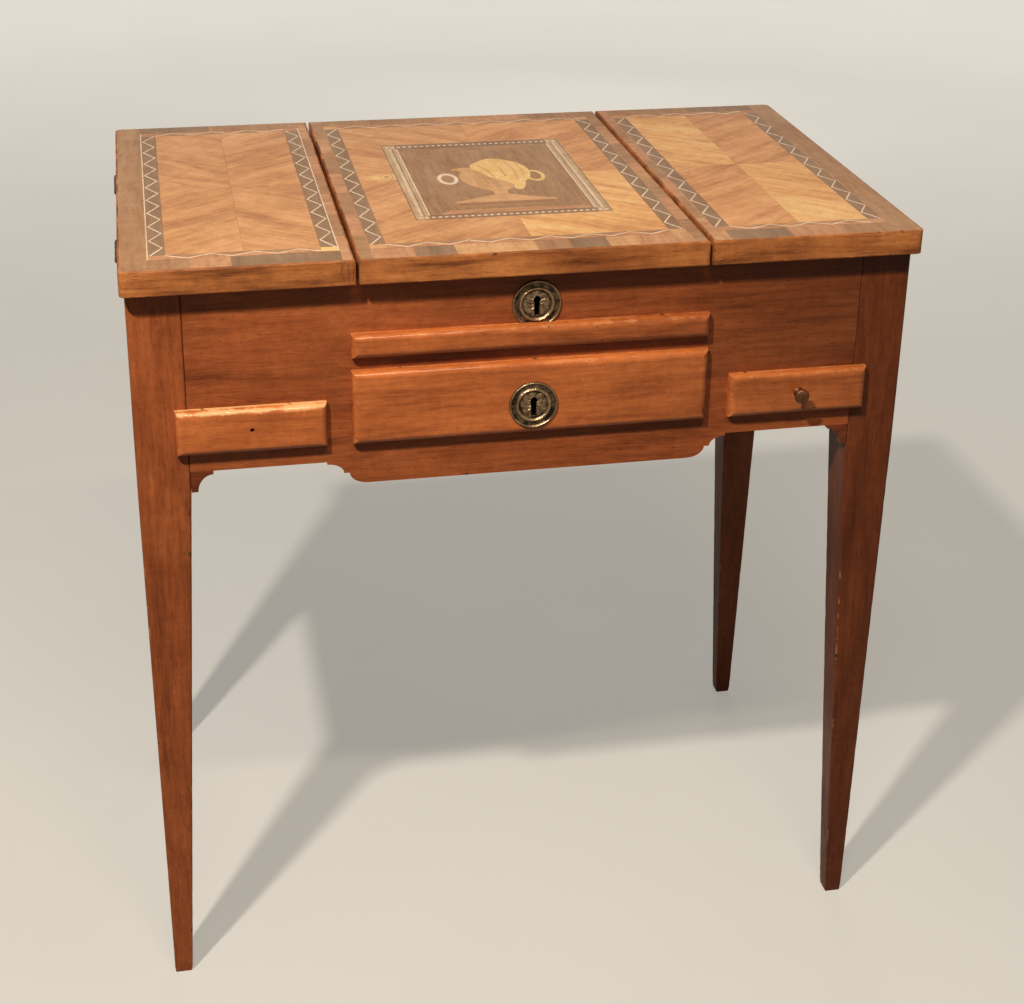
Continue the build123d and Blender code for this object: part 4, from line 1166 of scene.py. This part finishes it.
# %% Keyhole plates
plate_radius, plate_steps = 22.5, 240
eye_radius, eye_rise, slot_half, slot_drop = 3.2, 4.3, 2.4, 10.0
boss_radius, grained_radius = 14.9, 12.4
stamping = [(0, 1.5), (9.0, 1.6), (11.4, 1.4), (12.3, 0.8), (12.9, 0.75), (13.5, 1.25), (14.6, 2.4), (15.0, 2.55),
            (15.4, 2.45), (16.2, 1.4), (16.8, 0.8), (17.3, 0.7), (18.4, 0.8), (19.6, 0.75), (20.1, 0.8), (20.7, 1.5),
            (21.2, 2.05), (21.6, 2.05), (22.1, 1.5), (22.5, 0.7)]
rings = [0, 0.04, 0.1, 0.18, 0.26, 0.34, 0.42, 0.5, 0.58, 0.66, 0.74, 0.82, 0.88, 0.94, 1.0]
outer_rings = [15.3, 15.7, 16.1, 16.5, 16.9, 17.3, 17.8, 18.3, 18.9, 19.5, 20.0, 20.4, 20.8, 21.2, 21.6, 22.0, 22.3,
               22.5]
nearly_nothing = 1e-6


def keyhole_reach(angle):
    """How far the keyhole's outline is from the plate's centre in one direction."""
    rise, run = math.sin(angle), abs(math.cos(angle))
    slot = min(slot_half / max(run, nearly_nothing),
               (eye_rise if rise > 0 else slot_drop) / max(abs(rise), nearly_nothing))
    under_root = eye_radius ** 2 - (eye_rise * run) ** 2
    eye = rise * eye_rise + math.sqrt(under_root) if rise > 0 and under_root > 0 else 0
    return max(slot, eye)


def stamped_height(radius, angle):
    """Height of the stamping in millimetres at one place of the plate."""
    for (r0, h0), (r1, h1) in zip(stamping, stamping[1:]):
        if radius <= r1 + nearly_nothing:
            height = h0 + (h1 - h0) * (radius - r0) / (r1 - r0)
            break
    across, up = radius * math.cos(angle), radius * math.sin(angle)
    leaves = noise.noise(Vector((across * 0.8, up * 0.8, 3.1))) + 0.35 * math.sin(9 * angle + radius * 0.5)
    if radius < grained_radius:
        height += 0.7 * leaves
    if 16.0 < radius < 20.2:
        height += 0.28 * leaves
    return height


def stamped_plate(name, cad_node, body, cut_low=None):
    low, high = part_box(cad_node)
    centre_x, centre_z = (low.x + high.x) / 2, high.z - plate_radius * millimetre
    back_y = high.y
    grain = random.Random(5)
    bm = bmesh.new()
    relief = bm.verts.layers.float.new("relief")

    def ring(radius_for, height_at):
        loop = []
        for step in range(plate_steps):
            angle = 2 * math.pi * step / plate_steps
            radius = radius_for(keyhole_reach(angle))
            rise = height_at(radius, angle)
            vert = bm.verts.new((centre_x + radius * math.cos(angle) * millimetre, back_y - rise * millimetre,
                                 centre_z + radius * math.sin(angle) * millimetre))
            vert[relief] = max(0.0, min(1.0, (rise - 0.75) / 1.5))
            loop.append(vert)
        return loop

    def flat_back(radius, angle):
        return 0.0

    def grained(radius, angle):
        return stamped_height(radius, angle) + (grain.uniform(-0.15, 0.15) if radius < grained_radius else 0.0)

    loops = [ring(lambda reach: reach, flat_back), ring(lambda reach: reach, lambda r, a: stamped_height(r, a) - 0.4)]
    loops += [ring(lambda reach, share=share: reach + 0.25 + (boss_radius - reach - 0.25) * share, grained)
              for share in rings]
    loops += [ring(lambda reach, wide=wide: wide, grained) for wide in outer_rings]
    loops.append(ring(lambda reach: plate_radius, flat_back))
    for first, second in zip(loops, loops[1:] + loops[:1]):
        for step in range(plate_steps):
            after = (step + 1) % plate_steps
            bm.faces.new((first[step], first[after], second[after], second[step]))
    if cut_low is not None:
        cut = bmesh.ops.bisect_plane(bm, geom=bm.verts[:] + bm.edges[:] + bm.faces[:], plane_co=(0, 0, cut_low),
                                     plane_no=(0, 0, -1), clear_outer=True)
        rim_edges = [e for e in cut["geom_cut"] if isinstance(e, bmesh.types.BMEdge)]
        bmesh.ops.holes_fill(bm, edges=rim_edges, sides=0)
    plate = piece_of(name, bm, [plate_brass])
    finish_faces(plate.data, 60)
    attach(plate, body)
    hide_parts(cad_node)
    print(name, len(plate.data.polygons), "faces")
    return centre_x, back_y, centre_z


upper_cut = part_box("upper_escutcheon")[0].z
upper_centre = stamped_plate("upper_keyhole_plate", "upper_escutcheon", "case", upper_cut)
lower_centre = stamped_plate("lower_keyhole_plate", "lower_escutcheon", "centre_drawer")

# %% [markdown]
# A row of tiny pearls is stamped along the rim of each plate. They repeat, so a small tree sets
# one half-buried bead on every point of a circle. A bead is only a few faces, since it is just
# over a millimetre across. Pearls under the cut of the upper plate are taken away by height.

# %% Pearls on the rims
pearl_tree, given = start_shape("pearl_ring", {"number": ["Radius", "Pearl", "Lowest"], "count": ["Count", "Seed"]})
circle = wire("GeometryNodeMeshCircle", {"Vertices": given["Count"], "Radius": given["Radius"]})
circle = wire("GeometryNodeTransform", {"Geometry": circle, "Rotation": (quarter, 0.0, 0.0)})
height_here = parts_of(wire("GeometryNodeInputPosition"))[2]
too_low = wire("FunctionNodeCompare", {0: height_here, 1: given["Lowest"]}, operation="LESS_THAN")
circle = wire("GeometryNodeDeleteGeometry", {"Geometry": circle, "Selection": too_low})
bead = wire("GeometryNodeMeshIcoSphere", {"Radius": given["Pearl"], "Subdivisions": 2})
uneven = wire("FunctionNodeRandomValue", {2: 0.85, 3: 1.1, "Seed": given["Seed"]}, 1, data_type="FLOAT")
end_shape(wire("GeometryNodeInstanceOnPoints", {"Points": circle, "Instance": bead, "Scale": uneven}),
          given["Material"])

pearl_brass = brass_material("pearl_brass", colour(168, 140, 92), colour(80, 62, 40))
for name, body, (centre_x, back_y, centre_z), lowest in (
        ("upper_plate_pearls", "case", upper_centre, upper_cut - upper_centre[2] + 0.6 * millimetre),
        ("lower_plate_pearls", "centre_drawer", lower_centre, -1.0)):
    pearls = grow(name, pearl_tree, {"Radius": 21.5 * millimetre, "Count": 96, "Pearl": 0.55 * millimetre,
                                     "Lowest": lowest, "Seed": 4, "Material": pearl_brass})
    pearls.data.transform(Matrix.Translation((centre_x, back_y - 1.6 * millimetre, centre_z)))
    for face in pearls.data.polygons:
        face.use_smooth = True
    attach(pearls, body)
    print(name, len(pearls.data.polygons), "faces")

# %% [markdown]
# Six hinges are held by thirty-six countersunk screws with a slot. Nobody lines the slots up,
# so the tree turns each screw by chance from a fixed seed. It cuts the slot out of one head,
# adds the shank, and sets a copy on each point. The points are the middles of the screws in
# the frame, found in the order of its mesh so that every run gives the same turns, and a screw
# whose head looks down is turned over.

# %% Slotted screws
screw_tree, given = start_shape("slotted_screw", {
    "number": ["Head Radius", "Shank Radius", "Head Depth", "Shank Length", "Turned Over"], "count": ["Seed"]})


def lowered(geometry, depth):
    return wire("GeometryNodeTransform", {"Geometry": geometry, "Translation": vector_of(0.0, 0.0, depth * -1.0)})


head = wire("GeometryNodeMeshCone", {"Vertices": 24, "Radius Top": given["Head Radius"],
                                     "Radius Bottom": given["Shank Radius"], "Depth": given["Head Depth"]})
slot_size = vector_of(given["Head Radius"] * 3.0, given["Head Radius"] * 0.22, given["Head Depth"])
slot = wire("GeometryNodeMeshCube", {"Size": slot_size})
cut_head = wire("GeometryNodeMeshBoolean", {"Mesh 1": lowered(head, given["Head Depth"]), "Mesh 2": slot},
                operation="DIFFERENCE")
shank = wire("GeometryNodeMeshCylinder", {"Vertices": 12, "Radius": given["Shank Radius"],
                                          "Depth": given["Shank Length"]})
shank = lowered(shank, given["Head Depth"] + given["Shank Length"] * 0.5)
whole = node("GeometryNodeJoinGeometry")
for part in (cut_head, shank):
    screw_tree.links.new(part.socket, whole.inputs[0])
any_turn = wire("FunctionNodeRandomValue", {2: 0.0, 3: 2 * math.pi, "Seed": given["Seed"]}, 1, data_type="FLOAT")
turned_over = vector_of(given["Turned Over"] * math.pi, 0.0, any_turn)
end_shape(wire("GeometryNodeInstanceOnPoints", {"Points": given["Geometry"], "Instance": Wire(whole.outputs[0]),
                                                "Rotation": turned_over}), given["Material"])


def middles_of_solids(name):
    """The middle of each separate solid of a CAD node, seen from above."""
    bm = bmesh.new()
    bm.from_mesh(nodes[name].data)
    bmesh.ops.remove_doubles(bm, verts=bm.verts, dist=nearly_nothing)
    counted, middles = set(), []
    for first in bm.verts:
        if first in counted:
            continue
        counted.add(first)
        group, front = [], [first]
        while front:
            vert = front.pop()
            group.append(vert.co.copy())
            for edge in vert.link_edges:
                other = edge.other_vert(vert)
                if other not in counted:
                    counted.add(other)
                    front.append(other)
        middles.append((sum(p.x for p in group) / len(group), sum(p.y for p in group) / len(group)))
    bm.free()
    return middles


seat_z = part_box("centre_lid")[0].z
screw_sink = 0.1 * millimetre
for name, body, over in (("hinge_case_screws", "case", 0.0), ("left_leaf_hinge_screws", "left_leaf", 1.0),
                         ("right_leaf_hinge_screws", "right_leaf", 1.0),
                         ("centre_lid_hinge_screws", "centre_lid", 1.0)):
    head_z = seat_z + (screw_sink if over else -screw_sink)
    start = bpy.data.meshes.new(name + "_points")
    start.from_pydata([(x, y, head_z) for x, y in middles_of_solids(name)], [], [])
    screws = grow("slotted_" + name, screw_tree, {
        "Head Radius": 2.6 * millimetre, "Shank Radius": 1.2 * millimetre, "Head Depth": 1.5 * millimetre,
        "Shank Length": 12 * millimetre, "Turned Over": over, "Seed": 21, "Material": iron}, start=start)
    finish_faces(screws.data, 35)
    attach(screws, body)
    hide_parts(name)
    print(screws.name, len(screws.data.polygons), "faces")

# %% [markdown]
# The mirror under the lid is old silvered glass. It reflects nearly everything, but the silver
# has gone at the rim and in small grey blooms, where the glass looks dull. So the material is a
# plain mirror whose colour and roughness change where the bloom is.

# %% Mirror
mirror = new_material("old_mirror")
place = object_place()
mirror_low, mirror_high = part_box("mirror_glass")
rim_distance = put_group(edge_distance, {"Vector": place, "Low": mirror_low, "High": mirror_high})["Distance"]
near_rim = stretch(rim_distance, 0.0, 0.035, 0.34, 0.0)
bloom = stretch(clouds(place, 26.0, 8.0, 0.7) + near_rim, 0.66, 0.86, smooth=True)
glass = wire("ShaderNodeBsdfPrincipled", {"Base Color": blend(bloom, colour(226, 230, 231), colour(118, 112, 104)),
                                          "Metallic": 1.0, "Roughness": bloom * 0.45 + 0.03})
node("ShaderNodeOutputMaterial", {0: glass})
dress(["mirror_glass"], mirror)
print("mirror", round((mirror_high.x - mirror_low.x) / millimetre), "mm wide")

# %% [markdown]
# At the end every node of the frame that still shows is looked at, and those without a finish
# are listed.

# %% Check and finish
bare = [name for name, piece in nodes.items() if not piece.hide_render and not any(piece.data.materials)]
print("nodes without a finish:", bare)
